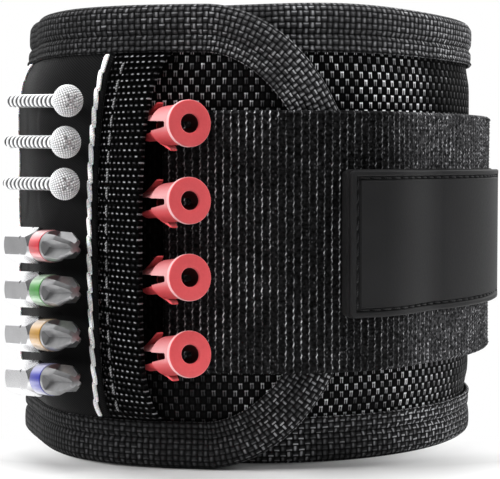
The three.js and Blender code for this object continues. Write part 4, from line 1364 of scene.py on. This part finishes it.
# ------------------------------------------------------------------ studio
def build_studio():
    sc = bpy.context.scene
    sc.view_settings.view_transform = "Standard"
    sc.view_settings.look = "None"
    # floor
    s = Soup()
    n = 48
    a = np.linspace(0, 2 * math.pi, n, endpoint=False)[:, None]
    r = np.array([0.0, 60, 120, 240, 500, 1000, 2500])[None, 1:]
    P = np.stack([r * np.cos(a), r * np.sin(a), 0 * r * a - 0.05], -1)
    base = s.grid(P, None, wrap_u=True, flip=True)
    s.fan(base + np.arange(n) * P.shape[1], (0, 0, -0.05))
    floor = s.object("studio_floor")
    m = Mat("floor_white", (0.93, 0.93, 0.93), 0.55, spec=0.3)
    sp = m.t.nodes.new("ShaderNodeSeparateXYZ")
    m.t.links.new(m.place(), sp.inputs[0])
    fx, fy = E(m.t, sp.outputs[0]), E(m.t, sp.outputs[1])
    far = (fx * fx + fy * fy).pow(0.5)
    # a sweep of paper: bright behind and at the sides, with a painted shadow in front
    bright = (1 - step_down(far, 0.056, 0.098)).max(1 - step_down(fy, -0.050, -0.018))
    dim = 1 - step_down(far, 0.100, 0.145)
    m.colour(m.ramp(bright * 0.5 + dim * 0.5, [(0.0, (0.43, 0.43, 0.43)), (0.5, (0.90, 0.90, 0.90)), (1.0, (0.34, 0.34, 0.34))]))
    glow = m.t.nodes.new("ShaderNodeEmission")
    glow.inputs["Strength"].default_value = 1.0
    both = m.t.nodes.new("ShaderNodeMixShader")
    ray = m.t.nodes.new("ShaderNodeLightPath")
    m.t.links.new((E(m.t, ray.outputs["Is Camera Ray"]) * bright).o, both.inputs[0])
    m.t.links.new(m.b.outputs[0], both.inputs[1])
    m.t.links.new(glow.outputs[0], both.inputs[2])
    m.t.links.new(both.outputs[0], m.t.nodes["Material Output"].inputs["Surface"])
    wear(floor, m.mat)
    # soft white surround, dimmer towards the front
    w = bpy.data.worlds.new("studio")
    sc.world = w
    w.use_nodes = True
    t = w.node_tree
    bg = t.nodes["Background"]
    tc = t.nodes.new("ShaderNodeTexCoord")
    sp = t.nodes.new("ShaderNodeSeparateXYZ")
    t.links.new(tc.outputs["Generated"], sp.inputs[0])
    x, y, zz = E(t, sp.outputs[0]), E(t, sp.outputs[1]), E(t, sp.outputs[2])
    back = ((y + 0.30) / 1.0).max(0.0).min(1.0)
    up = ((zz - 0.12) / 0.45).max(0.0).min(1.0)
    flank = ((-0.50 - x) / 0.28).max(0.0).min(1.0) * (1 - (zz.abs() / 0.30).min(1.0))
    strength = (back * back * (up * 1.3 + 0.85) + 0.22) * (1 - flank * 0.42)
    lp = t.nodes.new("ShaderNodeLightPath")
    seen = E(t, lp.outputs["Is Camera Ray"])
    s_ = seen.mix(strength, strength * 0 + 1.0)
    t.links.new(s_.o, bg.inputs["Strength"])
    bg.inputs["Color"].default_value = (1, 1, 1, 1)

    def area(name, loc, aim, size, power, size_y=None):
        l = bpy.data.lights.new(name, "AREA")
        l.shape = "RECTANGLE"
        l.size, l.size_y = size, size_y or size
        l.energy = power
        o = bpy.data.objects.new(name, l)
        o.location = loc
        d = Vector(aim) - Vector(loc)
        o.rotation_euler = d.to_track_quat("-Z", "Y").to_euler()
        o.visible_glossy = False  # polished metal mirrors the even surround instead
        sc.collection.objects.link(o)

    area("key", (-0.56, -0.24, 0.34), (-0.01, -0.04, 0.05), 0.12, 6.1, 0.26)
    area("side", (0.60, -0.12, 0.28), (0.04, -0.02, 0.05), 0.10, 2.4, 0.40)
    area("top", (0.02, -0.12, 0.62), (0.0, -0.03, 0.05), 0.40, 3.6, 0.12)

    cam = bpy.data.cameras.new("camera")
    cam.sensor_width = 36
    cam.lens = 36 * 1531 / 500
    o = bpy.data.objects.new("camera", cam)
    o.location = (-0.00136, -0.346, 0.060)
    o.rotation_euler = (math.radians(90 - 2.97), 0, 0)
    cam.clip_start = 0.01
    sc.collection.objects.link(o)
    sc.camera = o


build_studio()
build_wall()
build_binding()
build_panels()
build_threads()
build_elastic()
build_strap()
build_badge()
build_screws()
build_bits()
build_plugs()
finish_frame_nodes()
